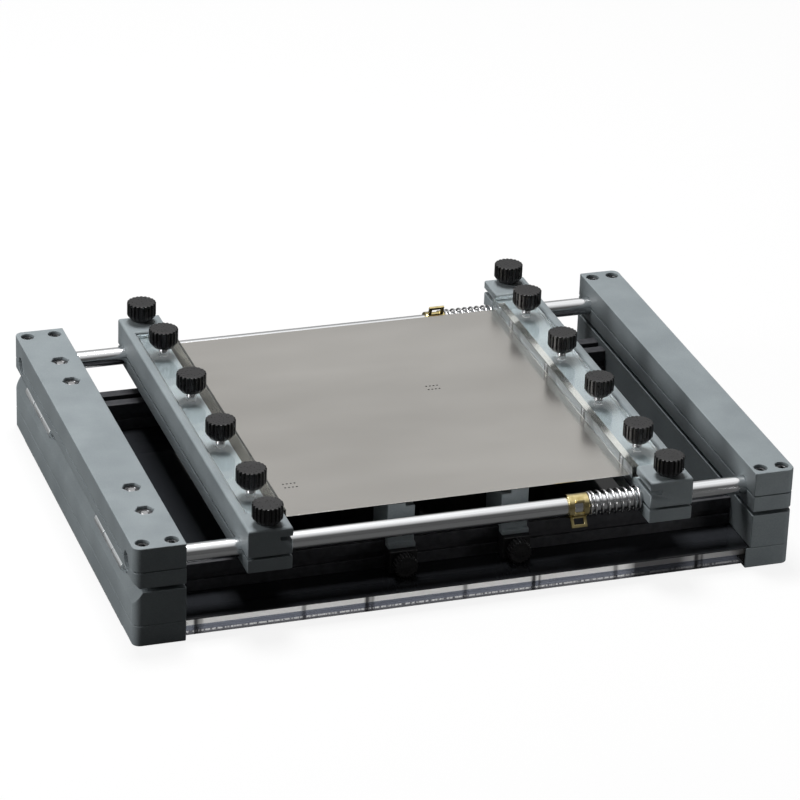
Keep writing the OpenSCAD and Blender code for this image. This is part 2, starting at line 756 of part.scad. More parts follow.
// Frame: lower half of the left block, chamfered over the hinge groove
module left_lower_block() {
    color([0.50, 0.53, 0.55]) difference() {
        translate([0, 0, frame_z]) linear_extrude(height = lower_h - split_gap / 2)
            side_outline(left_in, -half_w);
        edge_cut([[-half_w - cut, frame_z + frame_chamfer + cut], [-half_w + frame_chamfer, frame_z],
            [-half_w + frame_chamfer, frame_z - cut], [-half_w - cut, frame_z - cut]]);
        barrel_pockets();
        rod_bores(-half_w - cut, left_in + cut, rod_clamp_clear);
        clamp_holes_lower(left_screws);
        at_hinge_screws() {
            zcyl(hinge_screw_d + hole_clear, frame_z - cut, axis_z + cut, 0, 0, hole_fn);
            head_sink(frame_z - leaf_t, hinge_head_d, hinge_screw_d);
        }
    }
}

// Frame: upper half of the right block
module right_upper_block() {
    color([0.50, 0.53, 0.55]) difference() {
        translate([0, 0, axis_z + split_gap / 2]) linear_extrude(height = upper_h - split_gap / 2)
            side_outline(right_in, half_w);
        rod_bores(right_in - cut, half_w + cut, rod_clamp_clear);
        clamp_holes_upper(right_screws);
    }
}

// Frame: lower half of the right block
module right_lower_block() {
    color([0.50, 0.53, 0.55]) difference() {
        translate([0, 0, frame_z]) linear_extrude(height = lower_h - split_gap / 2)
            side_outline(right_in, half_w);
        rod_bores(right_in - cut, half_w + cut, rod_clamp_clear);
        clamp_holes_lower(right_screws);
    }
}

// Frame: front guide rod
module front_rod() {
    color([0.80, 0.80, 0.80]) xcyl(rod_d, -rod_len / 2, rod_len / 2, -rod_y, axis_z, bore_fn);
}

// Frame: back guide rod
module back_rod() {
    color([0.80, 0.80, 0.80]) xcyl(rod_d, -rod_len / 2, rod_len / 2, rod_y, axis_z, bore_fn);
}

// Frame: eight socket screws that pull the block halves together on the rods
module frame_screws() {
    color([0.55, 0.55, 0.56]) for (x = concat(left_screws, right_screws)) for (t = [-1, 1])
        translate([x, t * screw_y, 0]) difference() {
            union() {
                zcyl(m3_d, frame_z + screw_floor, frame_top - m3_head_sink - m3_head_h + eps, 0, 0,
                    hole_fn);
                zcyl(m3_head_d, frame_top - m3_head_sink - m3_head_h + eps, frame_top - m3_head_sink,
                    0, 0, hole_fn);
            }
            zcyl(m3_socket / cos(30), frame_top - m3_head_sink - m3_socket_h, frame_top, 0, 0, 6);
        }
}

// Spring band clamp on a rod: a band with a window, a framed ear at one end and a tongue at the other
module rod_clamp(y, angle) {
    band_d = rod_d + 2 * clip_t;
    ear_x0 = (clip_w - clip_ear_w) / 2;
    ear_x1 = ear_x0 + clip_ear_w;
    ear_tip = band_d / 2 + clip_ear_l;
    translate([clip_x, y, axis_z]) rotate([angle, 0, 0]) difference() {
        union() {
            difference() {
                union() {
                    xcyl(band_d, 0, clip_w, 0, 0, bore_fn);
                    box(ear_x0, ear_x1, -clip_t / 2, clip_t / 2, 0, ear_tip);
                }
                box(ear_x0 + clip_rim, ear_x1 - clip_rim, -clip_t, clip_t, band_d / 2 + clip_t / 2,
                    ear_tip - clip_rim);
                box(ear_x0 + clip_rim, ear_x1 - clip_rim, rod_d / 4, band_d, 0, band_d);
            }
            box(ear_x0 + clip_rim + clip_tongue_clear, ear_x1 - clip_rim - clip_tongue_clear, 0,
                band_d / 2 + clip_tongue_l, -clip_t, 0);
        }
        xcyl(rod_d + 2 * eps, -cut, clip_w + cut, 0, 0, bore_fn);
    }
}

// Frame: rod clamp that backs the front spring
module front_rod_clamp() {
    color([0.80, 0.66, 0.25]) rod_clamp(-rod_y, front_ear_angle);
}

// Frame: rod clamp that backs the back spring
module back_rod_clamp() {
    color([0.80, 0.66, 0.25]) rod_clamp(rod_y, back_ear_angle);
}

// Place along the spring after a number of turns: closed at both ends, even in between
function coil_rise(turn, last, end_pitch, open_pitch) =
    end_pitch * (min(turn, 1) + max(turn - last + 1, 0)) + open_pitch * (min(max(turn, 1), last - 1) - 1);

// Helical spring: a ring of points around the wire, carried along the coil
module coil(y) {
    sides = 8;
    steps = 16;
    last = spring_turns + 2;
    end_pitch = spring_wire + spring_end_gap;
    open_pitch = (spring_x1 - spring_x0 - spring_wire - 2 * end_pitch) / spring_turns;
    r = (spring_d - spring_wire) / 2;
    wire_r = spring_wire / 2;
    rings = last * steps;
    points = [for (i = [0 : rings]) let (turn = i / steps, a = 360 * turn,
            x = spring_x0 + wire_r + coil_rise(turn, last, end_pitch, open_pitch))
        for (j = [0 : sides - 1]) let (q = 360 * j / sides, rr = r + wire_r * sin(q))
            [x + wire_r * cos(q), y + rr * cos(a), axis_z + rr * sin(a)]];
    skin = [for (i = [0 : rings - 1]) for (j = [0 : sides - 1]) let (k = (j + 1) % sides)
        [i * sides + j, i * sides + k, (i + 1) * sides + k, (i + 1) * sides + j]];
    first_cap = [[for (j = [sides - 1 : -1 : 0]) j]];
    last_cap = [[for (j = [0 : sides - 1]) rings * sides + j]];
    polyhedron(points = points, faces = concat(skin, first_cap, last_cap));
}

// Frame: front tension spring, free end at the right carriage
module front_spring() {
    color([0.72, 0.72, 0.73]) coil(-rod_y);
}

// Frame: back tension spring, free end at the right carriage
module back_spring() {
    color([0.72, 0.72, 0.73]) coil(rod_y);
}

// Upper half of a carriage; s is the side of the stencil, +1 toward +X
module carriage_upper(xc, s, drop) {
    x_out = xc - s * car_w / 2;
    x_in = xc + s * car_w / 2;
    rec_x = x_out + s * car_lip_w;
    floor_z = stencil_z - drop;
    difference() {
        box(xc - car_w / 2, xc + car_w / 2, -car_y, car_y, axis_z + car_gap / 2, car_z1);
        box(min(rec_x, x_in + s * cut), max(rec_x, x_in + s * cut), -bay_y, bay_y, floor_z, car_z1 + cut);
        box(min(x_in - s * end_slot_w, x_in + s * cut), max(x_in - s * end_slot_w, x_in + s * cut),
            -car_y - cut, car_y + cut, floor_z, floor_z + end_slot_h);
        rod_bores(xc - car_w / 2 - cut, xc + car_w / 2 + cut, rod_slide_clear);
        for (t = [-1, 1]) {
            zcyl(thumb_d + 2 * thumb_clear, axis_z - cut, car_z1 + cut, xc, t * screw_y, hole_fn);
            zcyl(join_d + thread_clear, axis_z - cut, axis_z + join_reach + cut / 2, xc,
                t * (rod_y - join_offset), hole_fn);
        }
        for (y = knob_rows)
            zcyl(thumb_d + 2 * thumb_clear, axis_z - cut, car_z1 + cut, xc + s * knob_shift, y, hole_fn);
    }
}

// Lower half of a carriage
module carriage_lower(xc) {
    difference() {
        box(xc - car_w / 2, xc + car_w / 2, -car_y, car_y, car_z0, axis_z - car_gap / 2);
        rod_bores(xc - car_w / 2 - cut, xc + car_w / 2 + cut, rod_slide_clear);
        for (t = [-1, 1]) {
            zcyl(thumb_d + 2 * thumb_clear, car_z0 + screw_floor - cut / 2, axis_z + cut, xc,
                t * screw_y, hole_fn);
            zcyl(join_d + hole_clear, car_z0 - cut, axis_z + cut, xc, t * (rod_y - join_offset), hole_fn);
            zcyl(m3_head_d + head_clear, car_z0 - cut, car_z0 + m3_head_h, xc,
                t * (rod_y - join_offset), hole_fn);
        }
    }
}

// Two socket screws from below that join the halves of a carriage
module joining_screws(xc) {
    for (t = [-1, 1]) translate([xc, t * (rod_y - join_offset), 0]) {
        zcyl(join_d, car_z0 + eps, axis_z + join_reach, 0, 0, hole_fn);
        zcyl(m3_head_d, car_z0 + eps, car_z0 + m3_head_h, 0, 0, hole_fn);
    }
}

// Clear bar that presses the stencil edge onto a carriage
module clamp_bar(xc, s) {
    x_out = xc - s * (car_w / 2 - car_lip_w - clamp_clear);
    x_in = xc + s * (car_w / 2 + clamp_over);
    z0 = stencil_z + stencil_t + (s < 0 ? stencil_play : 0);
    difference() {
        box(min(x_out, x_in), max(x_out, x_in), -clamp_y, clamp_y, z0, clamp_top);
        for (y = knob_rows)
            zcyl(thumb_d + 2 * thumb_clear, z0 - cut, clamp_top + cut, xc + s * knob_shift, y, hole_fn);
    }
}

// Left carriage: upper half
module left_carriage_upper() {
    color([0.50, 0.53, 0.55]) carriage_upper(left_car_x, 1, 0);
}

// Left carriage: lower half
module left_carriage_lower() {
    color([0.50, 0.53, 0.55]) carriage_lower(left_car_x);
}

// Left carriage: clear clamp bar
module left_clamp_bar() {
    color([0.82, 0.88, 0.90, 0.5]) clamp_bar(left_car_x, 1);
}

// Left carriage: joining screws
module left_joining_screws() {
    color([0.55, 0.55, 0.56]) joining_screws(left_car_x);
}

// Right carriage: upper half
module right_carriage_upper() {
    color([0.50, 0.53, 0.55]) carriage_upper(right_car_x, -1, stencil_play);
}

// Right carriage: lower half
module right_carriage_lower() {
    color([0.50, 0.53, 0.55]) carriage_lower(right_car_x);
}

// Right carriage: clear clamp bar
module right_clamp_bar() {
    color([0.82, 0.88, 0.90, 0.5]) clamp_bar(right_car_x, -1);
}

// Right carriage: joining screws
module right_joining_screws() {
    color([0.55, 0.55, 0.56]) joining_screws(right_car_x);
}

// Thin steel stencil held by its left and right edges, with two small aperture groups
module stencil() {
    color([0.66, 0.64, 0.62]) difference() {
        box(stencil_x0, stencil_x1, -stencil_y, stencil_y, stencil_z, stencil_z + stencil_t);
        for (g = [[group_a_x, group_a_y], [group_b_x,
            group_b_y]]) for (i = [-1.5 : 1.5]) for (j = [-0.5, 0.5])
            translate([g[0] + i * aperture_pitch, g[1] + j * 2 * aperture_pitch, stencil_z])
                cube([aperture, aperture, 3 * stencil_t], center = true);
    }
}

// Bar that carries one edge of the board; s is the side of the rebate
module board_bar(xc, s) {
    x0 = xc - bar_w / 2;
    x1 = xc + bar_w / 2;
    fy0 = front_rail_y - hook_clear;
    by1 = back_rail_y + rail_w + hook_clear;
    leg_f = front_rail_y + rail_w + leg_extra;
    leg_b = back_rail_y - leg_extra;
    key_w = slot_w - 2 * key_clear;
    reb_x = xc + s * (bar_w / 2 - rebate_w);
    difference() {
        union() {
            box(x0, x1, bar_y0, bar_y1, saddle_z, bar_top);
            box(x0, x1, bar_y0, fy0, lip_z, saddle_z + eps);
            box(x0, x1, bar_y0 - lip_out, bar_y0 + eps, lip_z, lip_z + lip_h);
            box(x0, x1, by1, bar_y1, lip_z, saddle_z + eps);
            box(x0, x1, bar_y1 - eps, bar_y1 + lip_out, lip_z, lip_z + lip_h);
            for (y = [front_rail_y, back_rail_y])
                box(x0, x1, y + slot_off - key_w / 2, y + slot_off + key_w / 2, saddle_z - key_h,
                    saddle_z + eps);
        }
        box(x0 - cut, x1 + cut, leg_f, leg_b, saddle_z - cut, bar_top - beam_h);
        box(min(reb_x, reb_x + s * bar_w), max(reb_x, reb_x + s * bar_w), bar_y0 - cut, bar_y1 + cut,
            bar_top - rebate_h, bar_top + cut);
    }
}

// Black hooks under the two end lips of a bar, outside the rails, with the lock screw holes
module bar_hooks(xc) {
    x0 = xc - bar_w / 2;
    x1 = xc + bar_w / 2;
    fy0 = front_rail_y - hook_clear;
    by1 = back_rail_y + rail_w + hook_clear;
    difference() {
        union() {
            box(x0, x1, fy0 - hook_t, fy0, plate_top + hook_lift, lip_z);
            box(x0, x1, by1, by1 + hook_t, plate_top + hook_lift, lip_z);
        }
        ycyl(thumb_d + 2 * thumb_clear, fy0 - hook_t - cut, fy0 + cut, xc, bar_screw_z, hole_fn);
        ycyl(thumb_d + 2 * thumb_clear, by1 - cut, by1 + hook_t + cut, xc, bar_screw_z, hole_fn);
    }
}

// Left board bar, rebate toward the right
module left_board_bar() {
    color([0.40, 0.43, 0.45]) board_bar(left_bar_x, 1);
}

// Right board bar, rebate toward the left
module right_board_bar() {
    color([0.40, 0.43, 0.45]) board_bar(right_bar_x, -1);
}

// Hooks of the left board bar
module left_bar_hooks() {
    color([0.10, 0.10, 0.11]) bar_hooks(left_bar_x);
}

// Hooks of the right board bar
module right_bar_hooks() {
    color([0.10, 0.10, 0.11]) bar_hooks(right_bar_x);
}

// Fluted knob outline
module knob_outline(d) {
    n = flutes * 4;
    r = d / 2;
    polygon([for (i = [0 : n - 1]) let (a = 360 * i / n, q = (i % 4 < 2) ? r : r - flute_depth)
        [q * cos(a), q * sin(a)]]);
}

// Thumb screw along a local axis: plain shank from its tip, and a fluted knob tapered toward the shank
module thumb_screw(tip, knob_from, d, h, taper_r, taper_h) {
    r = d / 2;
    c = knob_chamfer;
    union() {
        zcyl(thumb_d, tip, knob_from + eps, 0, 0, hole_fn);
        translate([0, 0, knob_from]) intersection() {
            linear_extrude(height = h) knob_outline(d);
            rotate_extrude($fn = bore_fn)
                polygon([[0, 0], [r - taper_r, 0], [r + eps, taper_h], [r + eps, h - c], [r - c, h],
                    [0, h]]);
        }
    }
}

// Thumb screw over the clear bar of a carriage
module clamp_knob(xc, s, row) {
    color([0.10, 0.10, 0.11]) translate([xc + s * knob_shift, knob_rows[row], 0])
        thumb_screw(axis_z + car_gap / 2 + seat_gap, clamp_top + knob_rise, knob_d, knob_h, knob_taper_r,
            knob_taper_h);
}

// Thumb screw that pinches a carriage on its rod
module lock_knob(xc, t) {
    color([0.10, 0.10, 0.11]) translate([xc, t * screw_y, 0])
        thumb_screw(car_z0 + screw_floor, car_z1 + lock_rise, knob_d, knob_h, knob_taper_r, knob_taper_h);
}

// Thumb screw that locks a board bar on a rail; t is -1 in front, +1 behind
module bar_lock(xc, t) {
    face = t < 0 ? front_rail_y : back_rail_y + rail_w;
    color([0.10, 0.10, 0.11]) translate([xc, face, bar_screw_z]) rotate([-t * 90, 0, 0])
        thumb_screw(tip_gap, hook_clear + hook_t + seat_gap, bar_knob_d, bar_knob_h, knob_chamfer,
            knob_chamfer);
}

// Clamp thumb screws of the left carriage, front to back
module left_knob_1() { clamp_knob(left_car_x, 1, 0); }
module left_knob_2() { clamp_knob(left_car_x, 1, 1); }
module left_knob_3() { clamp_knob(left_car_x, 1, 2); }
module left_knob_4() { clamp_knob(left_car_x, 1, 3); }

// Lock thumb screws of the left carriage
module left_lock_front() { lock_knob(left_car_x, -1); }
module left_lock_back() { lock_knob(left_car_x, 1); }

// Clamp thumb screws of the right carriage, front to back
module right_knob_1() { clamp_knob(right_car_x, -1, 0); }
module right_knob_2() { clamp_knob(right_car_x, -1, 1); }
module right_knob_3() { clamp_knob(right_car_x, -1, 2); }
module right_knob_4() { clamp_knob(right_car_x, -1, 3); }

// Lock thumb screws of the right carriage
module right_lock_front() { lock_knob(right_car_x, -1); }
module right_lock_back() { lock_knob(right_car_x, 1); }

// Lock thumb screws of the board bars
module left_bar_lock_front() { bar_lock(left_bar_x, -1); }
module left_bar_lock_back() { bar_lock(left_bar_x, 1); }
module right_bar_lock_front() { bar_lock(right_bar_x, -1); }
module right_bar_lock_back() { bar_lock(right_bar_x, 1); }

base_plate();
black_sheet();
left_base_block();
right_base_block();
left_foot();
right_foot();
front_rail();
back_rail();
rail_screws();
foot_screws();
rest_pads();
front_base_leaf();
back_base_leaf();
front_hinge_pin();
back_hinge_pin();
hinge_base_screws();
left_upper_block();
left_lower_block();
right_upper_block();
right_lower_block();
front_rod();
back_rod();
frame_screws();
front_frame_leaf();
back_frame_leaf();
hinge_frame_screws();
hinge_nuts();
front_rod_clamp();
back_rod_clamp();
front_spring();
back_spring();
left_carriage_upper();
left_carriage_lower();
left_clamp_bar();
stencil();
left_joining_screws();
right_carriage_upper();
right_carriage_lower();
right_clamp_bar();
right_joining_screws();
left_board_bar();
right_board_bar();
left_bar_hooks();
right_bar_hooks();
left_knob_1();
left_knob_2();
left_knob_3();
left_knob_4();
left_lock_front();
left_lock_back();
right_knob_1();
right_knob_2();
right_knob_3();
right_knob_4();
right_lock_front();
right_lock_back();
left_bar_lock_front();
left_bar_lock_back();
right_bar_lock_front();
right_bar_lock_back();
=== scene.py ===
import json
import math

import bmesh
import bpy
import numpy as np
from mathutils import Matrix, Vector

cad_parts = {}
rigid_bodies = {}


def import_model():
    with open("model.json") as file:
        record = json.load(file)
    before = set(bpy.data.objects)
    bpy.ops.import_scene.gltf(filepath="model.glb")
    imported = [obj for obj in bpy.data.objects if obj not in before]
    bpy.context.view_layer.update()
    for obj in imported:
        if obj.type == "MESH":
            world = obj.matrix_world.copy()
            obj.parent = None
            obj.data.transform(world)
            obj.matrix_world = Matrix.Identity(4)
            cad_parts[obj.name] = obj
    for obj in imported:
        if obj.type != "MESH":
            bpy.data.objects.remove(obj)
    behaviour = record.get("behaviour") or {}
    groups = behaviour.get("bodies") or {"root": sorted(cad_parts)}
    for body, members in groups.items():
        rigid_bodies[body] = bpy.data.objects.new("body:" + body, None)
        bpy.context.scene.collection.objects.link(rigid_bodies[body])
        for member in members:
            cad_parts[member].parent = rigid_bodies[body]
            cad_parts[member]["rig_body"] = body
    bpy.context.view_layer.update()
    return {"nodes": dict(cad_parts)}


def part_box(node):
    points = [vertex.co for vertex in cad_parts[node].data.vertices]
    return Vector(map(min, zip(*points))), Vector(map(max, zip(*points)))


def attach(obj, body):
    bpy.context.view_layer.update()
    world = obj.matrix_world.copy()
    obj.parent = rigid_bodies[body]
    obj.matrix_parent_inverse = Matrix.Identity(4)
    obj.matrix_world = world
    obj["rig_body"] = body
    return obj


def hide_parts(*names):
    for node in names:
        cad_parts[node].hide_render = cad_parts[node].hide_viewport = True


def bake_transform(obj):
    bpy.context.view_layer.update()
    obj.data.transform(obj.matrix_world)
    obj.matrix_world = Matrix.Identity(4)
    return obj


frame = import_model()

# Feet and base blocks
# Four machined blocks of matte grey plastic, two a side: a foot that holds the end of the base plate and a block
# screwed on top of it. The left pair carries the hinges, the right pair the rest pads.
MM = 0.001
BLOCK_EASE = 0.45
HOLE_EDGE = 5.8
MERGE = 0.002
PLANE_SLACK = 0.1
FLAT_ANGLE = math.radians(1)
SHARP_ANGLE = math.radians(35)
GREY_DARK = (0.235, 0.268, 0.284, 1)
GREY_LIGHT = (0.300, 0.338, 0.354, 1)


def node(tree, kind, inputs=None, **settings):
    """One shader node: a number or colour is written on its socket, another node's output is linked to it."""
    made = tree.nodes.new("ShaderNode" + kind)
    for name, value in settings.items():
        setattr(made, name, value)
    for name, value in (inputs or {}).items():
        if isinstance(value, bpy.types.NodeSocket):
            tree.links.new(value, made.inputs[name])
        else:
            made.inputs[name].default_value = value
    return made


def new_finish(name, **sockets):
    """A material whose one shader has these sockets set."""
    material = bpy.data.materials.new(name)
    material.use_nodes = True
    shader = material.node_tree.nodes["Principled BSDF"]
    for socket, value in sockets.items():
        shader.inputs[socket.replace("_", " ")].default_value = value
    return material, material.node_tree, shader


def grain(tree, scale, stretch=(1, 1, 1), detail=3.0):
    """Noise in the piece's own place, about scale grains to a metre, drawn out along an axis where stretch is small."""
    place = node(tree, "TexCoord").outputs["Object"]
    drawn = node(tree, "Mapping", {"Vector": place, "Scale": stretch}).outputs["Vector"]
    return node(tree, "TexNoise", {"Vector": drawn, "Scale": scale, "Detail": detail}).outputs[0]


def spread(tree, value, low, high, start=0.3, end=0.7):
    """A value that lies between start and end, spread from low to high."""
    inputs = {"Value": value, "From Min": start, "From Max": end, "To Min": low, "To Max": high}
    return node(tree, "MapRange", inputs).outputs["Result"]


def tones(tree, value, dark, light, start=0.3, end=0.7):
    """A value that lies between start and end, turned into a colour between two tones."""
    ramp = node(tree, "ValToRGB", {"Fac": value})
    for stop, place, colour in zip(ramp.color_ramp.elements, (start, end), (dark, light)):
        stop.position = place
        stop.color = colour
    return ramp.outputs["Color"]


def relief(tree, shader, height, strength, depth):
    """Fine relief on a surface from a height value; depth is in millimetres."""
    bump = node(tree, "Bump", {"Height": height, "Strength": strength, "Distance": depth * MM})
    tree.links.new(bump.outputs["Normal"], shader.inputs["Normal"])


def eased_copy(name, ease, finish, segments=2, holes=True, below=1.0):
    """A solid's own mesh with its triangles joined into whole faces and its sharp edges eased by a small round. With
    holes off, short edges round holes and slots stay sharp, and edges below the top face get a share of the ease."""
    cad = frame["nodes"][name]
    mesh = cad.data.copy()
    mesh.materials.clear()
    mesh.materials.append(finish)
    work = bmesh.new()
    work.from_mesh(mesh)
    bmesh.ops.remove_doubles(work, verts=work.verts, dist=MERGE * MM)
    bmesh.ops.dissolve_limit(work, angle_limit=FLAT_ANGLE, verts=work.verts, edges=work.edges)
    for face in work.faces:
        face.smooth = True
        face.material_index = 0
    share = work.edges.layers.float.new("bevel_weight_edge")
    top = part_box(name)[1][2] - PLANE_SLACK * MM
    for edge in work.edges:
        sharp = edge.calc_face_angle(0) > SHARP_ANGLE
        kept = not holes and edge.calc_length() < HOLE_EDGE * MM
        at_top = min(vert.co.z for vert in edge.verts) > top
        edge[share] = (sharp and not kept) * (1.0 if at_top else below)
        edge.smooth = not (sharp and kept)
    work.to_mesh(mesh)
    work.free()
    piece = bpy.data.objects.new(name + "_eased", mesh)
    bpy.context.scene.collection.objects.link(piece)
    bevel = piece.modifiers.new("eased edges", "BEVEL")
    bevel.width = ease * MM
    bevel.segments = segments
    bevel.limit_method = "ANGLE" if holes else "WEIGHT"
    bevel.angle_limit = SHARP_ANGLE
    bevel.use_clamp_overlap = False
    bevel.loop_slide = False
    flat = piece.modifiers.new("flat faces stay flat", "WEIGHTED_NORMAL")
    flat.weight = 100
    flat.keep_sharp = True
    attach(piece, cad["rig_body"])
    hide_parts(name)
    return piece


grey, tree, shader = new_finish("grey_plastic", Roughness=0.5, Specular_IOR_Level=0.3)
specks = grain(tree, 2200, detail=4.0)
clouds = grain(tree, 60, detail=4.0)
mill_marks = grain(tree, 900, stretch=(1, 0.03, 1))
mixed = node(tree, "Math", {0: specks, 1: clouds}, operation="ADD").outputs[0]
halved = node(tree, "Math", {0: mixed, 1: 0.5}, operation="MULTIPLY").outputs[0]
tree.links.new(tones(tree, halved, GREY_DARK, GREY_LIGHT, 0.38, 0.62), shader.inputs["Base Color"])
tree.links.new(spread(tree, clouds, 0.44, 0.58), shader.inputs["Roughness"])
rough_skin = node(tree, "Math", {0: specks, 1: mill_marks}, operation="ADD").outputs[0]
relief(tree, shader, rough_skin, strength=0.35, depth=0.05)
for block in ("left_foot", "right_foot", "left_base_block", "right_base_block"):
    eased_copy(block, BLOCK_EASE, grey)

# Clear base plate
# A 7 mm sheet of clear acrylic, laser cut, with its ends held in the feet. The light guided through it is painted
# into the cut edge's tint as bands: frosted and bright along the top, a painted bluish shade in the middle, a row of
# bright cut marks and a painted dark line at the bottom. The rail screws and the shade of the right end are painted
# on that edge as dark shade marks.
PLATE_EASE = 0.15
UNDERSIDE = 0.12
DARK_LINE = (0.2, 1.0)
BLUE_SHADE_BAND = (1.2, 4.5)
FROST_FROM = 4.75
STREAK_BAND = (1.1, 1.2, 4.4, 4.6)
DOT_BAND = (1.2, 1.35, 1.95, 2.1)
WHITE = (1.0, 1.0, 1.0, 1)
BLACK = (0.0, 0.0, 0.0, 1)
PAINTED_BLUE_SHADE = (0.085, 0.10, 0.145, 1)
FROST_TINT = (0.98, 0.97, 0.94, 1)
PAINTED_DARK_SHADE = (0.04, 0.04, 0.045, 1)
SHADE = (0.012, 0.012, 0.013, 1)
HALF_SHADE = (0.16, 0.16, 0.165, 1)
STREAK_TINT = (0.45, 0.45, 0.48, 1)
CUT_GLOSS = (0.1, 0.1, 0.1, 1)
FROST_GLOSS = (0.75, 0.75, 0.75, 1)
# Painted shade on the plate's edge: where the dark stripes for the rail screws fall, in millimetres along X.
FRONT_SHADE_MARKS = (-119.0, -44.6, 30.0, 104.6)
BACK_SHADE_MARKS = (-73.0, -2.0, 66.0)
SCREW_SHADE_MARK = ((-2.2, WHITE), (-1.9, SHADE), (0.2, SHADE), (0.6, WHITE), (1.0, SHADE), (1.9, SHADE), (2.2, WHITE))
FAR_SHADE_MARK = ((-1.4, WHITE), (-0.9, HALF_SHADE), (0.9, HALF_SHADE), (1.4, WHITE))
RIGHT_SHADE = ((70.0, WHITE), (75.0, SHADE), (96.0, SHADE), (102.0, HALF_SHADE))


def box_mm(name):
    """The lowest and highest corner of a solid, in millimetres."""
    low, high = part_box(name)
    return np.array(low) / MM, np.array(high) / MM


def millimetres(tree, axis):
    """Place along one axis of the piece, in millimetres."""
    place = node(tree, "TexCoord").outputs["Object"]
    along = node(tree, "SeparateXYZ", {"Vector": place}).outputs[axis]
    return node(tree, "Math", {0: along, 1: 1 / MM}, operation="MULTIPLY").outputs[0]


def bands(tree, value, stops):
    """A value turned into a colour by a row of (value, colour) stops."""
    first, last = stops[0][0], stops[-1][0]
    ramp = node(tree, "ValToRGB", {"Fac": spread(tree, value, 0.0, 1.0, first, last)})
    elements = ramp.color_ramp.elements
    elements[0].color, elements[1].color = stops[0][1], stops[-1][1]
    for place, colour in stops[1:-1]:
        elements.new((place - first) / (last - first)).color = colour
    return ramp.outputs["Color"]


def inside_band(tree, value, band, last):
    """White where a value between 0 and last lies in a band, which has a soft start and end, and black elsewhere."""
    start, full, fade, end = band
    return bands(tree, value, ((0.0, BLACK), (start, BLACK), (full, WHITE), (fade, WHITE), (end, BLACK), (last, BLACK)))


def mixed_colour(tree, share, first, second, blend="MIX"):
    """Two colours mixed by a share, or one multiplied by the other."""
    mix = node(tree, "MixRGB", {"Fac": share, "Color1": first, "Color2": second}, blend_type=blend)
    return mix.outputs["Color"]


plate_finish, tree, shader = new_finish("laser_cut_acrylic", IOR=1.49, Transmission_Weight=1.0)
low, high = box_mm("base_plate")
thick = high[2] - low[2]
up = node(tree, "Math", {0: millimetres(tree, "Z"), 1: low[2]}, operation="SUBTRACT").outputs[0]
across = millimetres(tree, "X")
# Painted shade in the edge's tint by height: a bluish shade in the middle and a dark line at the bottom.
edge = bands(tree, up, ((0.0, WHITE), (UNDERSIDE, WHITE), (DARK_LINE[0], PAINTED_DARK_SHADE), (DARK_LINE[1], PAINTED_DARK_SHADE),
                        (BLUE_SHADE_BAND[0], PAINTED_BLUE_SHADE), (BLUE_SHADE_BAND[1], PAINTED_BLUE_SHADE), (FROST_FROM, FROST_TINT),
                        (thick, FROST_TINT)))
streaks = tones(tree, grain(tree, 1500, stretch=(0.006, 0.01, 1)), STREAK_TINT, WHITE, 0.42, 0.62)
edge = mixed_colour(tree, inside_band(tree, up, STREAK_BAND, thick), edge, streaks, "MULTIPLY")
dots = tones(tree, grain(tree, 1100, stretch=(1, 0.01, 0.01)), PAINTED_DARK_SHADE, WHITE, 0.44, 0.52)
edge = mixed_colour(tree, inside_band(tree, up, DOT_BAND, thick), edge, dots)
# Painted shade: dark stripes on the edge where the rail screws and the right end darken the guided light.
near_painted_shade = [(x + off, colour) for x in FRONT_SHADE_MARKS for off, colour in SCREW_SHADE_MARK]
far_painted_shade = [(x + off, colour) for x in BACK_SHADE_MARKS for off, colour in FAR_SHADE_MARK] + list(RIGHT_SHADE)
shaded_edge = edge
for row in (near_painted_shade, far_painted_shade):
    shade_ramp = bands(tree, across, [(low[0], WHITE)] + row + [(high[0], row[-1][1])])
    shaded_edge = mixed_colour(tree, 1.0, shaded_edge, shade_ramp, "MULTIPLY")
edge_only = bands(tree, up, ((0.0, BLACK), (UNDERSIDE, BLACK), (DARK_LINE[0], WHITE), (thick, WHITE)))
edge = mixed_colour(tree, edge_only, edge, shaded_edge)
tree.links.new(edge, shader.inputs["Base Color"])
dull = bands(tree, up, ((0.0, WHITE), (UNDERSIDE, WHITE), (DARK_LINE[0], CUT_GLOSS), (BLUE_SHADE_BAND[1], CUT_GLOSS),
                        (FROST_FROM, FROST_GLOSS), (thick, FROST_GLOSS)))
tree.links.new(dull, shader.inputs["Roughness"])
cut_marks = grain(tree, 900, stretch=(1, 1, 0.02))
relief(tree, shader, cut_marks, strength=0.5, depth=0.15)
eased_copy("base_plate", PLATE_EASE, plate_finish)

# Black sheet
# Half a millimetre of glossy black film stuck to the top of the clear plate, so that the bay shows black. Its corners
# are rounded, and a few smears and a little dust lie on it.
SHEET_CORNER = 0.6
SHEET_EASE = 0.1
SHEET_SINK = 0.06
CORNER_STEPS = 7
WELD = 0.0005
FILM_DARK = (0.024, 0.026, 0.030, 1)
FILM_DUST = (0.029, 0.030, 0.034, 1)


def ring_faces(rings, around):
    """Four-sided faces between neighbouring rings of points, each ring closed on itself."""
    i, j = np.meshgrid(np.arange(rings - 1), np.arange(around), indexing="ij")
    k = (j + 1) % around
    corners = (i * around + j, i * around + k, (i + 1) * around + k, (i + 1) * around + j)
    return np.stack(corners, axis=-1).reshape(-1, 4)


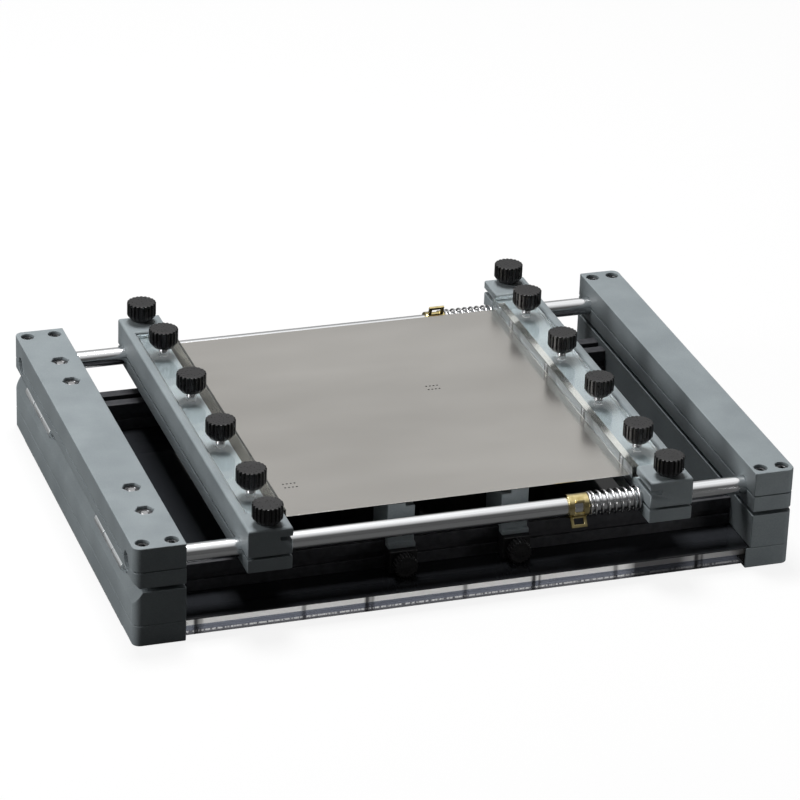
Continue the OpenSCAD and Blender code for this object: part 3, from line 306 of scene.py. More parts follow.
def add_piece(name, points, faces, body, finish, nodes=(), sharp=40):
    """A new piece from an array of points in millimetres and a list of faces, its poles merged and closed."""
    mesh = bpy.data.meshes.new(name)
    mesh.from_pydata((points * MM).tolist(), [], [list(map(int, face)) for face in faces])
    work = bmesh.new()
    work.from_mesh(mesh)
    bmesh.ops.remove_doubles(work, verts=work.verts, dist=WELD * MM)
    bmesh.ops.recalc_face_normals(work, faces=work.faces)
    for face in work.faces:
        face.smooth = True
    work.to_mesh(mesh)
    work.free()
    mesh.set_sharp_from_angle(angle=math.radians(sharp))
    mesh.materials.append(finish)
    piece = bpy.data.objects.new(name, mesh)
    bpy.context.scene.collection.objects.link(piece)
    if body:
        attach(piece, body)
    if nodes:
        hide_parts(*nodes)
    return piece


def eased_slab(low, high, corner, steps):
    """A flat slab: a rectangle with round corners is carried up a profile of (inset, height) steps and capped."""
    turn = np.linspace(0, np.pi / 2, CORNER_STEPS)
    angle = (turn + np.arange(4)[:, None] * np.pi / 2).ravel()
    sign_x = np.repeat([1, -1, -1, 1], len(turn))
    sign_y = np.repeat([1, 1, -1, -1], len(turn))
    half = (high[:2] - low[:2]) / 2
    middle = (high[:2] + low[:2]) / 2
    inset, up = np.array(steps).T
    x = middle[0] + sign_x * (half[0] - corner) + np.cos(angle) * (corner - inset[:, None])
    y = middle[1] + sign_y * (half[1] - corner) + np.sin(angle) * (corner - inset[:, None])
    z = np.broadcast_to(up[:, None], x.shape)
    points = np.stack([x, y, z], axis=-1).reshape(-1, 3)
    around = len(angle)
    caps = [list(range(around)), list(range((len(up) - 1) * around, len(up) * around))]
    return points, ring_faces(len(up), around).tolist() + caps


sheet_finish, tree, shader = new_finish("black_film", Specular_IOR_Level=0.5)
smears = grain(tree, 25, detail=5.0)
dust = grain(tree, 700, detail=2.0)
tree.links.new(spread(tree, smears, 0.035, 0.11), shader.inputs["Roughness"])
tree.links.new(tones(tree, dust, FILM_DARK, FILM_DUST, 0.55, 0.7), shader.inputs["Base Color"])
low, high = box_mm("black_sheet")
sheet_steps = [(SHEET_EASE, low[2] - SHEET_SINK), (0.0, low[2] + SHEET_EASE), (0.0, high[2] - SHEET_EASE),
               (SHEET_EASE, high[2])]
points, faces = eased_slab(low, high, SHEET_CORNER, sheet_steps)
add_piece("black_film", points, faces, "base", sheet_finish, ["black_sheet"])

# Board rails
# Two black slotted rails, front and back, drawn in one length and screwed to the plate from below. The board bars
# slide along them.
RAIL_EASE = 0.35
RAIL_DARK = (0.040, 0.041, 0.046, 1)
RAIL_LIGHT = (0.066, 0.067, 0.073, 1)
rail_finish, tree, shader = new_finish("black_rail", Specular_IOR_Level=0.22)
drawn_lines = grain(tree, 700, stretch=(0.02, 1, 1))
tree.links.new(spread(tree, drawn_lines, 0.42, 0.56), shader.inputs["Roughness"])
tree.links.new(tones(tree, grain(tree, 300), RAIL_DARK, RAIL_LIGHT), shader.inputs["Base Color"])
relief(tree, shader, drawn_lines, strength=0.25, depth=0.03)
for rail in ("front_rail", "back_rail"):
    eased_copy(rail, RAIL_EASE, rail_finish)

# Screws from below
# Black oxide socket screws: eight through the plate into the rails and six through the feet into the base blocks.
# They show only from below.
M4_SHANK = 4.0
M4_HEAD = 7.0
M4_HEAD_H = 3.5
M4_SOCKET = 3.0
M4_SOCKET_H = 2.0
RAIL_SCREW_COUNT = 4
RAIL_SCREW_LEFT = 11.8
RAIL_SCREW_RIGHT = 15.7
FOOT_SCREW_SIDE = 4.2
FOOT_SCREW_END = 20.0
OXIDE_DARK = (0.02, 0.02, 0.022, 1)
OXIDE_LIGHT = (0.05, 0.05, 0.055, 1)


def carried_round(radius, height, around):
    """A turned form about Z: every (radius, height) step is carried round the axis; a radius may vary with angle."""
    angle = np.linspace(0, 2 * np.pi, around, endpoint=False)
    height = np.asarray(height, float)
    radius = np.asarray(radius, float)
    radius = radius[:, None] * np.ones(around) if radius.ndim == 1 else radius
    height = height[:, None] * np.ones(around) if height.ndim == 1 else height
    points = np.stack([radius * np.cos(angle), radius * np.sin(angle), height], axis=-1)
    return points.reshape(-1, 3), ring_faces(len(radius), around)


def hexagon(flats, around):
    """Radius of a hexagon of this width across its flats, at each angle round the axis."""
    angle = np.linspace(0, 2 * np.pi, around, endpoint=False)
    return flats / 2 / np.cos((angle % (np.pi / 3)) - np.pi / 6)


def repeat_at(points, faces, places):
    """Copies of one form, moved to each of a list of places."""
    places = np.asarray(places, float)
    shift = np.arange(len(places)) * len(points)
    return (points + places[:, None]).reshape(-1, 3), (faces + shift[:, None, None]).reshape(-1, faces.shape[1])


def socket_screw(shank, head, head_h, socket, socket_h, length, around=36):
    """A socket screw standing on its tip: tip, shank, head with an eased rim, then a hexagon sunk into the top."""
    r, rim = head / 2, 0.08 * head
    top = length + head_h
    plain = np.ones(around)
    hexed = hexagon(socket, around)
    steps = [(0 * plain, 0), (0.35 * shank * plain, 0), (0.5 * shank * plain, 0.15 * shank),
             (0.5 * shank * plain, length), (r * plain, length), (r * plain, top - rim),
             ((r - 0.3 * rim) * plain, top - 0.3 * rim), ((r - rim) * plain, top), (1.12 * hexed, top),
             (hexed, top - 0.12 * socket), (hexed, top - socket_h), (0 * plain, top - socket_h - 0.2 * socket)]
    return carried_round([step[0] for step in steps], [step[1] for step in steps], around)


black_steel, tree, shader = new_finish("black_oxide_steel", Metallic=0.6, Roughness=0.45)
tree.links.new(tones(tree, grain(tree, 900), OXIDE_DARK, OXIDE_LIGHT), shader.inputs["Base Color"])
turn_over = np.array([1, -1, -1])
low, high = box_mm("rail_screws")
points, faces = socket_screw(M4_SHANK, M4_HEAD, M4_HEAD_H, M4_SOCKET, M4_SOCKET_H, high[2] - low[2] - M4_HEAD_H)
rail_low, rail_high = box_mm("front_rail")
back_low, back_high = box_mm("back_rail")
rail_rows = ((rail_low[1] + rail_high[1]) / 2, (back_low[1] + back_high[1]) / 2)
rail_columns = np.linspace(rail_low[0] + RAIL_SCREW_LEFT, rail_high[0] - RAIL_SCREW_RIGHT, RAIL_SCREW_COUNT)
places = [(x, y, high[2]) for y in rail_rows for x in rail_columns]
points, faces = repeat_at(points * turn_over, faces, places)
add_piece("rail_socket_screws", points, faces, "base", black_steel, ["rail_screws"])
low, high = box_mm("foot_screws")
points, faces = socket_screw(M4_SHANK, M4_HEAD, M4_HEAD_H, M4_SOCKET, M4_SOCKET_H, high[2] - low[2] - M4_HEAD_H)
foot_low, foot_high = box_mm("left_foot")
right_low, right_high = box_mm("right_foot")
foot_columns = (foot_low[0] + FOOT_SCREW_SIDE, right_high[0] - FOOT_SCREW_SIDE)
foot_rows = (foot_low[1] + FOOT_SCREW_END, 0.0, foot_high[1] - FOOT_SCREW_END)
places = [(x, y, high[2]) for y in foot_rows for x in foot_columns]
points, faces = repeat_at(points * turn_over, faces, places)
add_piece("foot_socket_screws", points, faces, "base", black_steel, ["foot_screws"])

# Rest pads
# Two small moulded rubber buttons with a round rim, stuck on the right base block. They keep the closed frame
# level.
PAD_ROUND = 0.35
PAD_SIDES = 36
RUBBER_DARK = (0.012, 0.012, 0.012, 1)
RUBBER_LIGHT = (0.03, 0.03, 0.03, 1)
rubber, tree, shader = new_finish("pad_rubber", Roughness=0.8, Specular_IOR_Level=0.3)
tree.links.new(tones(tree, grain(tree, 1500), RUBBER_DARK, RUBBER_LIGHT), shader.inputs["Base Color"])
relief(tree, shader, grain(tree, 2500), strength=0.4, depth=0.05)
low, high = box_mm("rest_pads")
pad_r = (high[0] - low[0]) / 2
quarter = np.linspace(0, np.pi / 2, 6)
pad_radius = np.concatenate([[0, pad_r], pad_r - PAD_ROUND + PAD_ROUND * np.cos(quarter), [0]])
pad_height = np.concatenate([[low[2], low[2]], high[2] - PAD_ROUND + PAD_ROUND * np.sin(quarter), [high[2]]])
points, faces = carried_round(pad_radius, pad_height, PAD_SIDES)
places = [((low[0] + high[0]) / 2, y, 0) for y in (low[1] + pad_r, high[1] - pad_r)]
points, faces = repeat_at(points, faces, places)
add_piece("rest_buttons", points, faces, "base", rubber, ["rest_pads"])

# Butt hinges
# Two plated steel hinges on the left side: pressed leaves rolled into knuckles round a pin with domed ends, fixed
# with countersunk screws, down into the base block and up through the frame block into hex nuts.
LEAF_EASE = 0.14
PIN_DOME = 0.35
PIN_CROWN = 0.05
PIN_SIDES = 28
HINGE_SHANK = 4.0
HINGE_HEAD = 7.4
HINGE_HEAD_H = 2.0
HINGE_SOCKET = 2.5
NUT_SIDES = 48
NUT_ROUND = 0.98
NUT_SINK = 0.24
NUT_SINK_H = 0.3
SINK_RIM = 0.1
PLATED_DARK = (0.86, 0.89, 0.90, 1)
PLATED_LIGHT = (0.94, 0.97, 0.98, 1)
# Painted shade: the screw steel is darkened to look as dark as the shaded counterbores the screws sit in.
SCREW_DARK = (0.13, 0.13, 0.135, 1)
SCREW_LIGHT = (0.22, 0.22, 0.225, 1)
BRIGHT_DARK = (0.70, 0.70, 0.71, 1)
BRIGHT_LIGHT = (0.84, 0.84, 0.85, 1)


def steel_finish(name, dark, light, smooth, dull, stretch=(1, 1, 1), scale=900):
    """Bare or plated steel: tone and gloss drift a little, drawn out along the way it was worked."""
    material, tree, shader = new_finish(name, Metallic=1.0)
    worked = grain(tree, scale, stretch)
    tree.links.new(tones(tree, worked, dark, light), shader.inputs["Base Color"])
    tree.links.new(spread(tree, worked, smooth, dull), shader.inputs["Roughness"])
    relief(tree, shader, worked, strength=0.12, depth=0.02)
    return material


def countersunk_screw(shank, head, head_h, socket, length, around=36):
    """A countersunk screw standing on its tip: shank, then a cone out to a flat top with a hexagon sunk into it."""
    plain = np.ones(around)
    hexed = hexagon(socket, around)
    steps = [(0 * plain, 0), (0.35 * shank * plain, 0), (0.5 * shank * plain, 0.15 * shank),
             (0.5 * shank * plain, length - head_h), (0.5 * head * plain, length - SINK_RIM),
             (0.5 * head * plain - SINK_RIM, length), (hexed, length), (hexed, length - 0.6 * head_h),
             (0 * plain, length - 0.7 * head_h)]
    return carried_round([step[0] for step in steps], [step[1] for step in steps], around)


hinge_steel = steel_finish("hinge_steel", PLATED_DARK, PLATED_LIGHT, 0.34, 0.5, stretch=(1, 0.05, 1))
screw_steel = steel_finish("screw_steel", SCREW_DARK, SCREW_LIGHT, 0.22, 0.38)
bright_steel = steel_finish("bright_steel", BRIGHT_DARK, BRIGHT_LIGHT, 0.12, 0.22)
for leaf in ("front_base_leaf", "back_base_leaf", "front_frame_leaf", "back_frame_leaf"):
    eased_copy(leaf, LEAF_EASE, hinge_steel)
for end in ("front", "back"):
    low, high = box_mm(end + "_hinge_pin")
    pin_r = (high[0] - low[0]) / 2
    length = high[1] - low[1]
    radius = [0, pin_r - PIN_DOME, pin_r, pin_r, pin_r - PIN_DOME, 0]
    height = [0, PIN_CROWN, PIN_DOME, length - PIN_DOME, length - PIN_CROWN, length]
    points, faces = carried_round(radius, height, PIN_SIDES)
    points = points[:, [0, 2, 1]] + np.array([(low[0] + high[0]) / 2, low[1], (low[2] + high[2]) / 2])
    add_piece(end + "_domed_pin", points, faces, "base", hinge_steel, [end + "_hinge_pin"])
low, high = box_mm("hinge_base_screws")
head_r = HINGE_HEAD / 2
hinge_x = (low[0] + high[0]) / 2
leaf_low, leaf_high = box_mm("front_base_leaf")
screw_rows = np.array([low[1] + head_r, leaf_low[1] + leaf_high[1] - low[1] - head_r])
screw_rows = np.concatenate([screw_rows, -screw_rows])
points, faces = countersunk_screw(HINGE_SHANK, HINGE_HEAD, HINGE_HEAD_H, HINGE_SOCKET, high[2] - low[2])
points, faces = repeat_at(points, faces, [(hinge_x, y, low[2]) for y in screw_rows])
add_piece("hinge_lower_screws", points, faces, "base", screw_steel, ["hinge_base_screws"])
low, high = box_mm("hinge_frame_screws")
points, faces = countersunk_screw(HINGE_SHANK, HINGE_HEAD, HINGE_HEAD_H, HINGE_SOCKET, high[2] - low[2])
points, faces = repeat_at(points * turn_over, faces, [(hinge_x, y, high[2]) for y in screw_rows])
add_piece("hinge_upper_screws", points, faces, "frame", bright_steel, ["hinge_frame_screws"])
low, high = box_mm("hinge_nuts")
nut_flats = (high[0] - low[0]) * math.cos(math.pi / 6)
nut_h = high[2] - low[2]
hexed = hexagon(nut_flats, NUT_SIDES)
plain = np.ones(NUT_SIDES)
round_r = nut_flats / 2 * NUT_ROUND
fall = (hexed - round_r) * math.tan(math.pi / 6)
bore = 0.5 * HINGE_SHANK * plain
nut_radius = [bore, round_r * plain, hexed, hexed, round_r * plain, bore + NUT_SINK, bore, bore]
nut_height = [0 * plain, 0 * plain, fall, nut_h - fall, nut_h * plain, nut_h * plain, (nut_h - NUT_SINK_H) * plain,
              0 * plain]
points, faces = carried_round(nut_radius, nut_height, NUT_SIDES)
points, faces = repeat_at(points, faces, [(hinge_x, y, low[2]) for y in screw_rows])
add_piece("chamfered_nuts", points, faces, "frame", screw_steel, ["hinge_nuts"])

# Frame blocks
# The lifting frame's side blocks, each split along the rod axes into a lower and an upper half of the same grey
# plastic, which pinch the guide rods between them.
for block in ("left_upper_block", "left_lower_block", "right_upper_block", "right_lower_block"):
    eased_copy(block, BLOCK_EASE, grey)

# Guide rods
# Two 8 mm ground steel rods with chamfered ends, clamped in the side blocks. The carriages and the springs slide on
# them.
ROD_CHAMFER = 0.6
ROD_SIDES = 64
ROD_SHARP = 25
ROD_DARK = (0.78, 0.79, 0.80, 1)
ROD_LIGHT = (0.88, 0.89, 0.90, 1)
rod_steel = steel_finish("rod_steel", ROD_DARK, ROD_LIGHT, 0.10, 0.18, stretch=(0.02, 1, 1), scale=1500)
for end in ("front", "back"):
    low, high = box_mm(end + "_rod")
    rod_r = (high[2] - low[2]) / 2
    length = high[0] - low[0]
    radius = [0, rod_r - ROD_CHAMFER, rod_r, rod_r, rod_r - ROD_CHAMFER, 0]
    height = [0, 0, ROD_CHAMFER, length - ROD_CHAMFER, length, length]
    points, faces = carried_round(radius, height, ROD_SIDES)
    points = points[:, [2, 0, 1]] + np.array([low[0], (low[1] + high[1]) / 2, (low[2] + high[2]) / 2])
    add_piece(end + "_ground_rod", points, faces, "frame", rod_steel, [end + "_rod"], ROD_SHARP)

# Clamp screws of the frame
# Eight M3 socket screws, sunk into counterbores at the block ends, that pull the halves together on the rods. Their
# steel is darkened as painted shade of the counterbores.
M3_SHANK = 3.0
M3_HEAD = 5.5
M3_HEAD_H = 3.0
M3_SOCKET = 2.5
M3_SOCKET_H = 1.6
END_INSET = 5.5
LEFT_INSET = 5.0
RIGHT_INSET = 4.4
low, high = box_mm("frame_screws")
block_low, block_high = box_mm("left_upper_block")
right_low, right_high = box_mm("right_upper_block")
columns = (block_low[0] + LEFT_INSET, block_high[0] - LEFT_INSET, right_low[0] + RIGHT_INSET,
           right_high[0] - RIGHT_INSET)
rows = (block_low[1] + END_INSET, block_high[1] - END_INSET)
points, faces = socket_screw(M3_SHANK, M3_HEAD, M3_HEAD_H, M3_SOCKET, M3_SOCKET_H, high[2] - low[2] - M3_HEAD_H)
points, faces = repeat_at(points, faces, [(x, y, low[2]) for x in columns for y in rows])
add_piece("frame_socket_screws", points, faces, "frame", screw_steel, ["frame_screws"])

# Rod clamps
# Two yellow zinc plated bands pressed from sheet, sprung on to the rods, each with a framed ear. They back the
# springs.
CLAMP_EASE = 0.16
ZINC_DARK = (0.50, 0.40, 0.16, 1)
ZINC_LIGHT = (0.78, 0.66, 0.36, 1)
zinc = steel_finish("yellow_zinc", ZINC_DARK, ZINC_LIGHT, 0.08, 0.18, scale=350)
for clamp in ("front_rod_clamp", "back_rod_clamp"):
    eased_copy(clamp, CLAMP_EASE, zinc)

# Carriage springs
# Two bright steel compression springs, wound from round wire with closed ends, that sit round the rods between the
# clamps and the right carriage and push it outwards.
SPRING_WIRE = 1.0
OPEN_TURNS = 7
END_GAP = 0.15
WIRE_SIDES = 12
STEPS_A_TURN = 32
WIRE_DARK = (0.62, 0.62, 0.63, 1)
WIRE_LIGHT = (0.78, 0.78, 0.79, 1)


def coil(x0, x1, coil_r, wire_r):
    """A round wire coil along X: a small ring is carried along a helix that is closed for one turn at each end."""
    last = OPEN_TURNS + 2
    end_pitch = 2 * wire_r + END_GAP
    open_pitch = (x1 - x0 - 2 * wire_r - 2 * end_pitch) / OPEN_TURNS
    turn = np.linspace(0, last, last * STEPS_A_TURN + 1)[:, None]
    rise = end_pitch * (np.minimum(turn, 1) + np.maximum(turn - last + 1, 0))
    rise = rise + open_pitch * (np.clip(turn, 1, last - 1) - 1)
    side = np.linspace(0, 2 * np.pi, WIRE_SIDES, endpoint=False)
    out = coil_r + wire_r * np.sin(side)
    x = x0 + wire_r + rise + wire_r * np.cos(side)
    points = np.stack([x, out * np.cos(2 * np.pi * turn), out * np.sin(2 * np.pi * turn)], axis=-1)
    rings = len(turn)
    caps = [list(range(WIRE_SIDES)), list(range((rings - 1) * WIRE_SIDES, rings * WIRE_SIDES))]
    return points.reshape(-1, 3), ring_faces(rings, WIRE_SIDES).tolist() + caps


spring_steel = steel_finish("spring_steel", WIRE_DARK, WIRE_LIGHT, 0.14, 0.24)
for end in ("front", "back"):
    low, high = box_mm(end + "_spring")
    middle = (low + high) / 2
    points, faces = coil(low[0], high[0], (high[2] - low[2] - SPRING_WIRE) / 2, SPRING_WIRE / 2)
    points = points + np.array([0, middle[1], middle[2]])
    spring = add_piece(end + "_coil", points, faces, None, spring_steel, [end + "_spring"])
    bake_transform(spring)

# Carriages
# Two grey plastic carriages that slide on the rods, each split along the rod axes. The upper half has a recess for
# the clear bar, a lip along its outer edge and a slot at each end for the stencil's corners.
CARRIAGE_TOP_EASE = 1.1
CARRIAGE_EASE = 0.45
for side in ("left", "right"):
    upper = eased_copy(side + "_carriage_upper", CARRIAGE_TOP_EASE, grey, 4, False, CARRIAGE_EASE / CARRIAGE_TOP_EASE)
    eased_copy(side + "_carriage_lower", CARRIAGE_EASE, grey, 3, False)

# Carriage joining screws
# Two M3 socket screws of the same steel, darkened as painted shade of the counterbores, driven from below into
# counterbores, hold the halves of each carriage together.
for side in ("left", "right"):
    low, high = box_mm(side + "_joining_screws")
    x = (low[0] + high[0]) / 2
    y = high[1] - M3_HEAD / 2
    points, faces = socket_screw(M3_SHANK, M3_HEAD, M3_HEAD_H, M3_SOCKET, M3_SOCKET_H, high[2] - low[2] - M3_HEAD_H)
    points, faces = repeat_at(points * turn_over, faces, [(x, y, high[2]), (x, -y, high[2])])
    add_piece(side + "_under_screws", points, faces, side + "_carriage", screw_steel,
              [side + "_joining_screws"])

# Stencil
# A thin rolled steel sheet, satin, with faint smears from cleaning and small groups of etched apertures. Its left
# and right edges are clamped under the clear bars.
STENCIL_DARK = (0.765, 0.74, 0.695, 1)
STENCIL_LIGHT = (0.83, 0.805, 0.76, 1)
stencil_steel, tree, shader = new_finish("stencil_steel", Metallic=1.0)
rolled = grain(tree, 700, stretch=(1, 0.02, 1))
smears = grain(tree, 14, stretch=(0.5, 1.4, 1), detail=4.0)
tree.links.new(tones(tree, smears, STENCIL_DARK, STENCIL_LIGHT), shader.inputs["Base Color"])
tree.links.new(spread(tree, smears, 0.17, 0.24), shader.inputs["Roughness"])
relief(tree, shader, rolled, strength=0.05, depth=0.01)
sheet = frame["nodes"]["stencil"]
sheet.data.materials.clear()
sheet.data.materials.append(stencil_steel)

# Clear clamp bars
# Bars of polished clear acrylic, laid over the stencil edges in the carriage recesses and drilled for the knobs. They
# dim the lamps' light on what lies under them.
BAR_EASE = 0.15
ACRYLIC_TINT = (0.95, 0.97, 0.97, 1)
PASSING_LIGHT = (0.54, 0.555, 0.555, 1)
acrylic, tree, shader = new_finish("clear_acrylic", IOR=1.49, Transmission_Weight=1.0, Base_Color=ACRYLIC_TINT)
scuffs = grain(tree, 260, detail=5.0)
tree.links.new(spread(tree, scuffs, 0.02, 0.09), shader.inputs["Roughness"])
lit = node(tree, "LightPath").outputs["Is Shadow Ray"]
passing = node(tree, "BsdfTransparent", {"Color": PASSING_LIGHT}).outputs["BSDF"]
shown = node(tree, "MixShader", {"Fac": lit, 1: shader.outputs["BSDF"], 2: passing}).outputs["Shader"]
tree.links.new(shown, tree.nodes["Material Output"].inputs["Surface"])
for bar in ("left_clamp_bar", "right_clamp_bar"):
    eased_copy(bar, BAR_EASE, acrylic)

# Board bars
# Two bridges of grey plastic that carry the edges of the board, with a rebate along the facing edges and a lip at
# both ends. Black hooks under the lips reach down outside the rails and carry the lock screws.
HOOK_EASE = 0.4
HOOK_DARK = (0.006, 0.006, 0.0065, 1)
HOOK_LIGHT = (0.015, 0.015, 0.016, 1)
for bar in ("left_board_bar", "right_board_bar"):
    eased_copy(bar, BLOCK_EASE, grey)
hook_finish, tree, shader = new_finish("black_hook", Specular_IOR_Level=0.4)
moulded = grain(tree, 1800, detail=4.0)
tree.links.new(tones(tree, moulded, HOOK_DARK, HOOK_LIGHT), shader.inputs["Base Color"])
tree.links.new(spread(tree, moulded, 0.34, 0.48), shader.inputs["Roughness"])
relief(tree, shader, moulded, strength=0.3, depth=0.04)
for hooks in ("left_bar_hooks", "right_bar_hooks"):
    eased_copy(hooks, HOOK_EASE, hook_finish)

# Thumb screws
# Black moulded knobs with twenty flutes on bright M4 threads: four over each clear bar, one at each end of each
# carriage, and one at each end of each board bar.
FLUTES = 20
FLUTE_DEPTH = 0.8
FLUTE_LAND = 0.25
FLUTE_RISE = 0.6
STEPS_A_FLUTE = 12
KNOB_H = 8.5
BAR_KNOB_H = 4.5
KNOB_CHAMFER = 0.4
KNOB_TAPER_R = 1.8
KNOB_TAPER_H = 2.4
TOP_DISH = 0.12
THREAD = 4.0
THREAD_PITCH = 0.7
THREAD_DEPTH = 0.38
THREAD_SLOPE = 1.3
THREAD_FLAT = 0.15
THREAD_IN = 0.2
KNOB_DARK = (0.005, 0.005, 0.0055, 1)
KNOB_LIGHT = (0.013, 0.0125, 0.013, 1)


def fluted_knob(r, height, taper_r, taper_h):
    """A knob about Z: a turned profile, tapered below and chamfered above, is cut by a ring of rounded grooves, so at
    each height and angle the radius is the smaller of the profile's and the fluted ring's."""
    angle = np.linspace(0, 2 * np.pi, FLUTES * STEPS_A_FLUTE, endpoint=False)
    wave = 0.5 - 0.5 * np.cos(FLUTES * (angle - np.pi / FLUTES / 2))
    t = np.clip((wave - FLUTE_LAND) / FLUTE_RISE, 0, 1)
    fluted = r - FLUTE_DEPTH * t * t * (3 - 2 * t)
    c = KNOB_CHAMFER
    lower = np.linspace(0, 1, 7)
    upper = np.linspace(0, np.pi / 2, 6)
    profile_r = np.concatenate([[0, 0.5 * r], r - taper_r * (1 - lower), [r, r], r - c + c * np.cos(upper),
                                [r - 2.2 * c, 0.75 * r, 0.4 * r, 0]])
    profile_z = np.concatenate([[0, 0], taper_h * lower, [0.4 * height, 0.8 * height], height - c + c * np.sin(upper),
                                [height, height - TOP_DISH, height - TOP_DISH, height - TOP_DISH]])
    return carried_round(np.minimum(profile_r[:, None], fluted), profile_z, len(angle))


def threaded_shank(length, around=32, steps=8):
    """A screw thread about Z: the radius falls and rises once a pitch, in step with the angle, with a tapered tip."""
    z = np.linspace(0, length, int(length / THREAD_PITCH * steps))[:, None]
    angle = np.linspace(0, 2 * np.pi, around, endpoint=False)
    phase = (z / THREAD_PITCH - angle / (2 * np.pi)) % 1
    dip = np.clip(np.abs(2 * phase - 1) * THREAD_SLOPE - THREAD_FLAT, 0, 1)
    radius = THREAD / 2 - THREAD_DEPTH * dip
    radius = np.minimum(radius, THREAD / 2 - THREAD_DEPTH + z)
    points, faces = carried_round(radius, z * np.ones(around), around)
    rings = len(z)
    caps = [list(range(around)), list(range((rings - 1) * around, rings * around))]
    return points, faces.tolist() + caps


knob_finish, tree, shader = new_finish("black_knob", Specular_IOR_Level=0.5)
tree.links.new(tones(tree, grain(tree, 1600), KNOB_DARK, KNOB_LIGHT), shader.inputs["Base Color"])
moulded = grain(tree, 1100, detail=6.0)
tree.links.new(spread(tree, moulded, 0.24, 0.4), shader.inputs["Roughness"])
relief(tree, shader, moulded, strength=0.6, depth=0.1)
upright = np.eye(3)
to_front = np.array([[1, 0, 0], [0, 0, 1], [0, -1, 0]])
to_back = np.array([[1, 0, 0], [0, 0, -1], [0, 1, 0]])
knobs = {f"{side}_knob_{row}": upright for side in ("left", "right") for row in range(1, 5)}
knobs |= {f"{side}_lock_{end}": upright for side in ("left", "right") for end in ("front", "back")}
knobs |= {f"{side}_bar_lock_front": to_front for side in ("left", "right")}
knobs |= {f"{side}_bar_lock_back": to_back for side in ("left", "right")}
for name, way in knobs.items():
    low, high = box_mm(name)
    knob_r = (high[0] - low[0]) / 2
    if way is upright:
        along, knob_h, taper = 2, KNOB_H, (KNOB_TAPER_R, KNOB_TAPER_H)
    else:
        along, knob_h, taper = 1, BAR_KNOB_H, (KNOB_CHAMFER, KNOB_CHAMFER)
    length = high[along] - low[along] - knob_h
    tip = (low + high) / 2
    tip[along] = high[along] if way is to_front else low[along]
    points, faces = fluted_knob(knob_r, knob_h, *taper)
    points = (points + np.array([0, 0, length])) @ way + tip
    add_piece(name + "_cap", points, faces, name, knob_finish, [name])
    points, faces = threaded_shank(length + THREAD_IN)
    add_piece(name + "_thread", points @ way + tip, faces, name, bright_steel)

# Studio
# A plain white floor, a soft light overhead and slightly behind, one at the left, a weak one low at the front right,
# and the camera where the photograph was taken.
FLOOR_HALF = 6.0
FLOOR_GLOW = 0.88
FLOOR_DULL = (0.06, 0.06, 0.06, 1)
FLOOR_IN_MIRRORS = 0.05
BACKDROP_WAY = (-0.25, 0.85, 0.45)
FRONT_LEVEL = 0.2
FRONT_TO_BACK = (-0.45, 0.25)
LOW_LEVEL = 0.42
LOW_TO_HIGH = (0.52, 0.72)
ROOM_LIGHT = 0.06
floor_mesh = bpy.data.meshes.new("floor")
corners = np.array([[-1, -1, 0], [1, -1, 0], [1, 1, 0], [-1, 1, 0]]) * FLOOR_HALF
floor_mesh.from_pydata(corners.tolist(), [], [[0, 1, 2, 3]])
floor = bpy.data.objects.new("floor", floor_mesh)
bpy.context.scene.collection.objects.link(floor)
paper, tree, shader = new_finish("white_paper", Roughness=1.0, Specular_IOR_Level=0.0, Base_Color=WHITE)


def clear_ray(tree):
    """1 for rays that show a background straight from the camera or through glass, and 0 for those that light a dull
    surface."""
    path = node(tree, "LightPath").outputs
    either = node(tree, "Math", {0: path["Is Camera Ray"], 1: path["Is Transmission Ray"]}, operation="MAXIMUM")
    sharp = node(tree, "Math", {0: path["Diffuse Depth"], 1: 0.5}, operation="LESS_THAN")
    return node(tree, "Math", {0: either.outputs[0], 1: sharp.outputs[0]}, operation="MULTIPLY").outputs[0]


def seen_ray(tree, in_mirrors):
    """1 for rays that show a background, from the camera or through glass, and a share for those off a mirror."""
    glossy = node(tree, "LightPath").outputs["Is Glossy Ray"]
    mirrored = node(tree, "Math", {0: glossy, 1: in_mirrors}, operation="MULTIPLY").outputs[0]
    return node(tree, "Math", {0: clear_ray(tree), 1: mirrored}, operation="MAXIMUM").outputs[0]


glow = node(tree, "Emission", {"Color": WHITE, "Strength": 1.0}).outputs["Emission"]
bright = node(tree, "MixShader", {"Fac": FLOOR_GLOW, 1: shader.outputs["BSDF"], 2: glow}).outputs["Shader"]
dull = node(tree, "BsdfDiffuse", {"Color": FLOOR_DULL}).outputs["BSDF"]
shown = node(tree, "MixShader", {"Fac": seen_ray(tree, FLOOR_IN_MIRRORS), 1: dull, 2: bright}).outputs["Shader"]
tree.links.new(shown, tree.nodes["Material Output"].inputs["Surface"])
floor_mesh.materials.append(paper)

# The white backdrop stands behind and above: mirrors see it there, and the dark room in front of it.
world = bpy.data.worlds.new("studio")
bpy.context.scene.world = world
world.use_nodes = True
tree = world.node_tree
look = node(tree, "TexCoord").outputs["Generated"]
facing = node(tree, "VectorMath", {0: look, 1: BACKDROP_WAY}, operation="DOT_PRODUCT").outputs["Value"]
height = node(tree, "SeparateXYZ", {"Vector": look}).outputs["Z"]
behind = spread(tree, facing, FRONT_LEVEL, 1.0, *FRONT_TO_BACK)
above = spread(tree, height, LOW_LEVEL, 1.0, *LOW_TO_HIGH)
backdrop = node(tree, "Math", {0: behind, 1: above}, operation="MULTIPLY").outputs[0]
glossy = node(tree, "LightPath").outputs["Is Glossy Ray"]
share = spread(tree, glossy, ROOM_LIGHT, 1.0, 0.0, 1.0)
part = node(tree, "Math", {0: backdrop, 1: share}, operation="MULTIPLY")
level = node(tree, "Math", {0: clear_ray(tree), 1: part.outputs[0]}, operation="MAXIMUM").outputs[0]
tree.links.new(level, tree.nodes["Background"].inputs["Strength"])
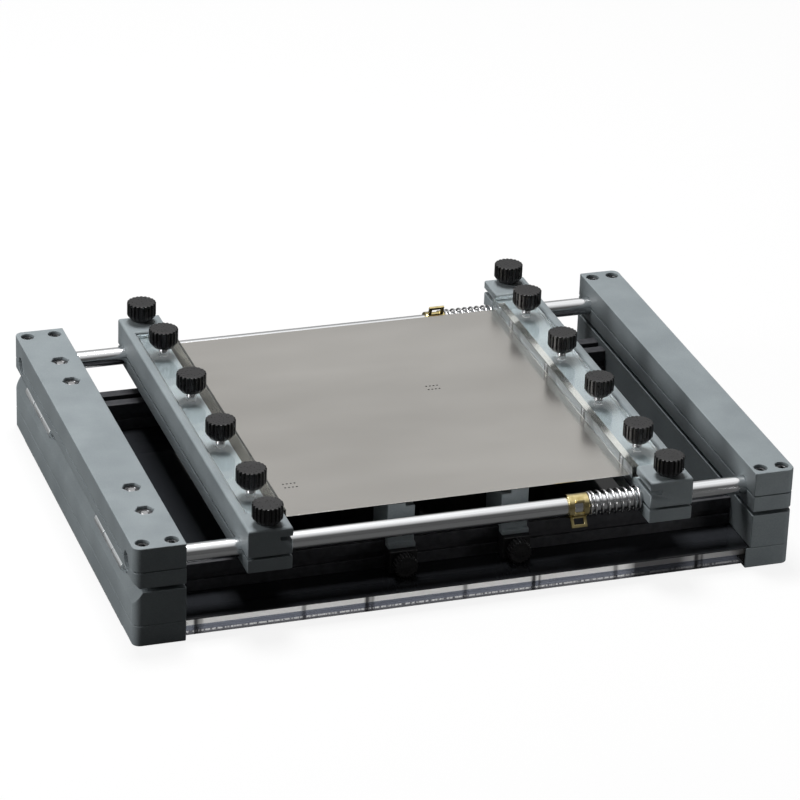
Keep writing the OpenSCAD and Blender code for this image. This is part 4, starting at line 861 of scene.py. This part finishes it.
tree.nodes["Background"].inputs["Color"].default_value = WHITE


def softbox(name, place, target, size, power):
    """A square soft lamp at a place, turned to face a target, in metres. Its light passes glass as shadow rays do."""
    lamp = bpy.data.lights.new(name, "AREA")
    lamp.size = size
    lamp.energy = power
    holder = bpy.data.objects.new(name, lamp)
    holder.visible_transmission = False
    bpy.context.scene.collection.objects.link(holder)
    back = np.array(place, float) - np.array(target, float)
    back = back / np.linalg.norm(back)
    across = np.cross((0, 0, 1), back)
    across = across / np.linalg.norm(across)
    turn = np.stack([across, np.cross(back, across), back], axis=1)
    holder.matrix_world = Matrix.Translation(place) @ Matrix(turn.tolist()).to_4x4()


softbox("top_box", place=(0.0, 0.35, 1.4), target=(0, 0, 0.03), size=0.42, power=18.5)
softbox("left_box", place=(-1.1, 0.05, 0.5), target=(-0.1, 0, 0.03), size=0.5, power=6.5)
softbox("right_box", place=(0.26, -0.27, 0.02), target=(0.14, -0.1, 0.01), size=0.1, power=0.155)

# The camera's place, turn and lens were fitted to corners and edges seen in the photograph.
LENS = 175.2
SENSOR = 36
CAMERA_PLACE = (-0.50004, -1.46366, 0.79749)
AZIMUTH = math.radians(-18.96)
ELEVATION = math.radians(25.94)
ROLL = math.radians(2.08)
back = np.array([math.sin(AZIMUTH) * math.cos(ELEVATION), -math.cos(AZIMUTH) * math.cos(ELEVATION),
                 math.sin(ELEVATION)])
across = np.array([math.cos(AZIMUTH), math.sin(AZIMUTH), 0])
upward = np.cross(back, across)
right = math.cos(ROLL) * across + math.sin(ROLL) * upward
upright_axis = -math.sin(ROLL) * across + math.cos(ROLL) * upward
camera_data = bpy.data.cameras.new("camera")
camera_data.lens = LENS
camera_data.sensor_width = SENSOR
camera = bpy.data.objects.new("camera", camera_data)
bpy.context.scene.collection.objects.link(camera)
turn = np.stack([right, upright_axis, back], axis=1)
camera.matrix_world = Matrix.Translation(CAMERA_PLACE) @ Matrix(turn.tolist()).to_4x4()
bpy.context.scene.camera = camera
bpy.context.scene.view_settings.view_transform = "Standard"
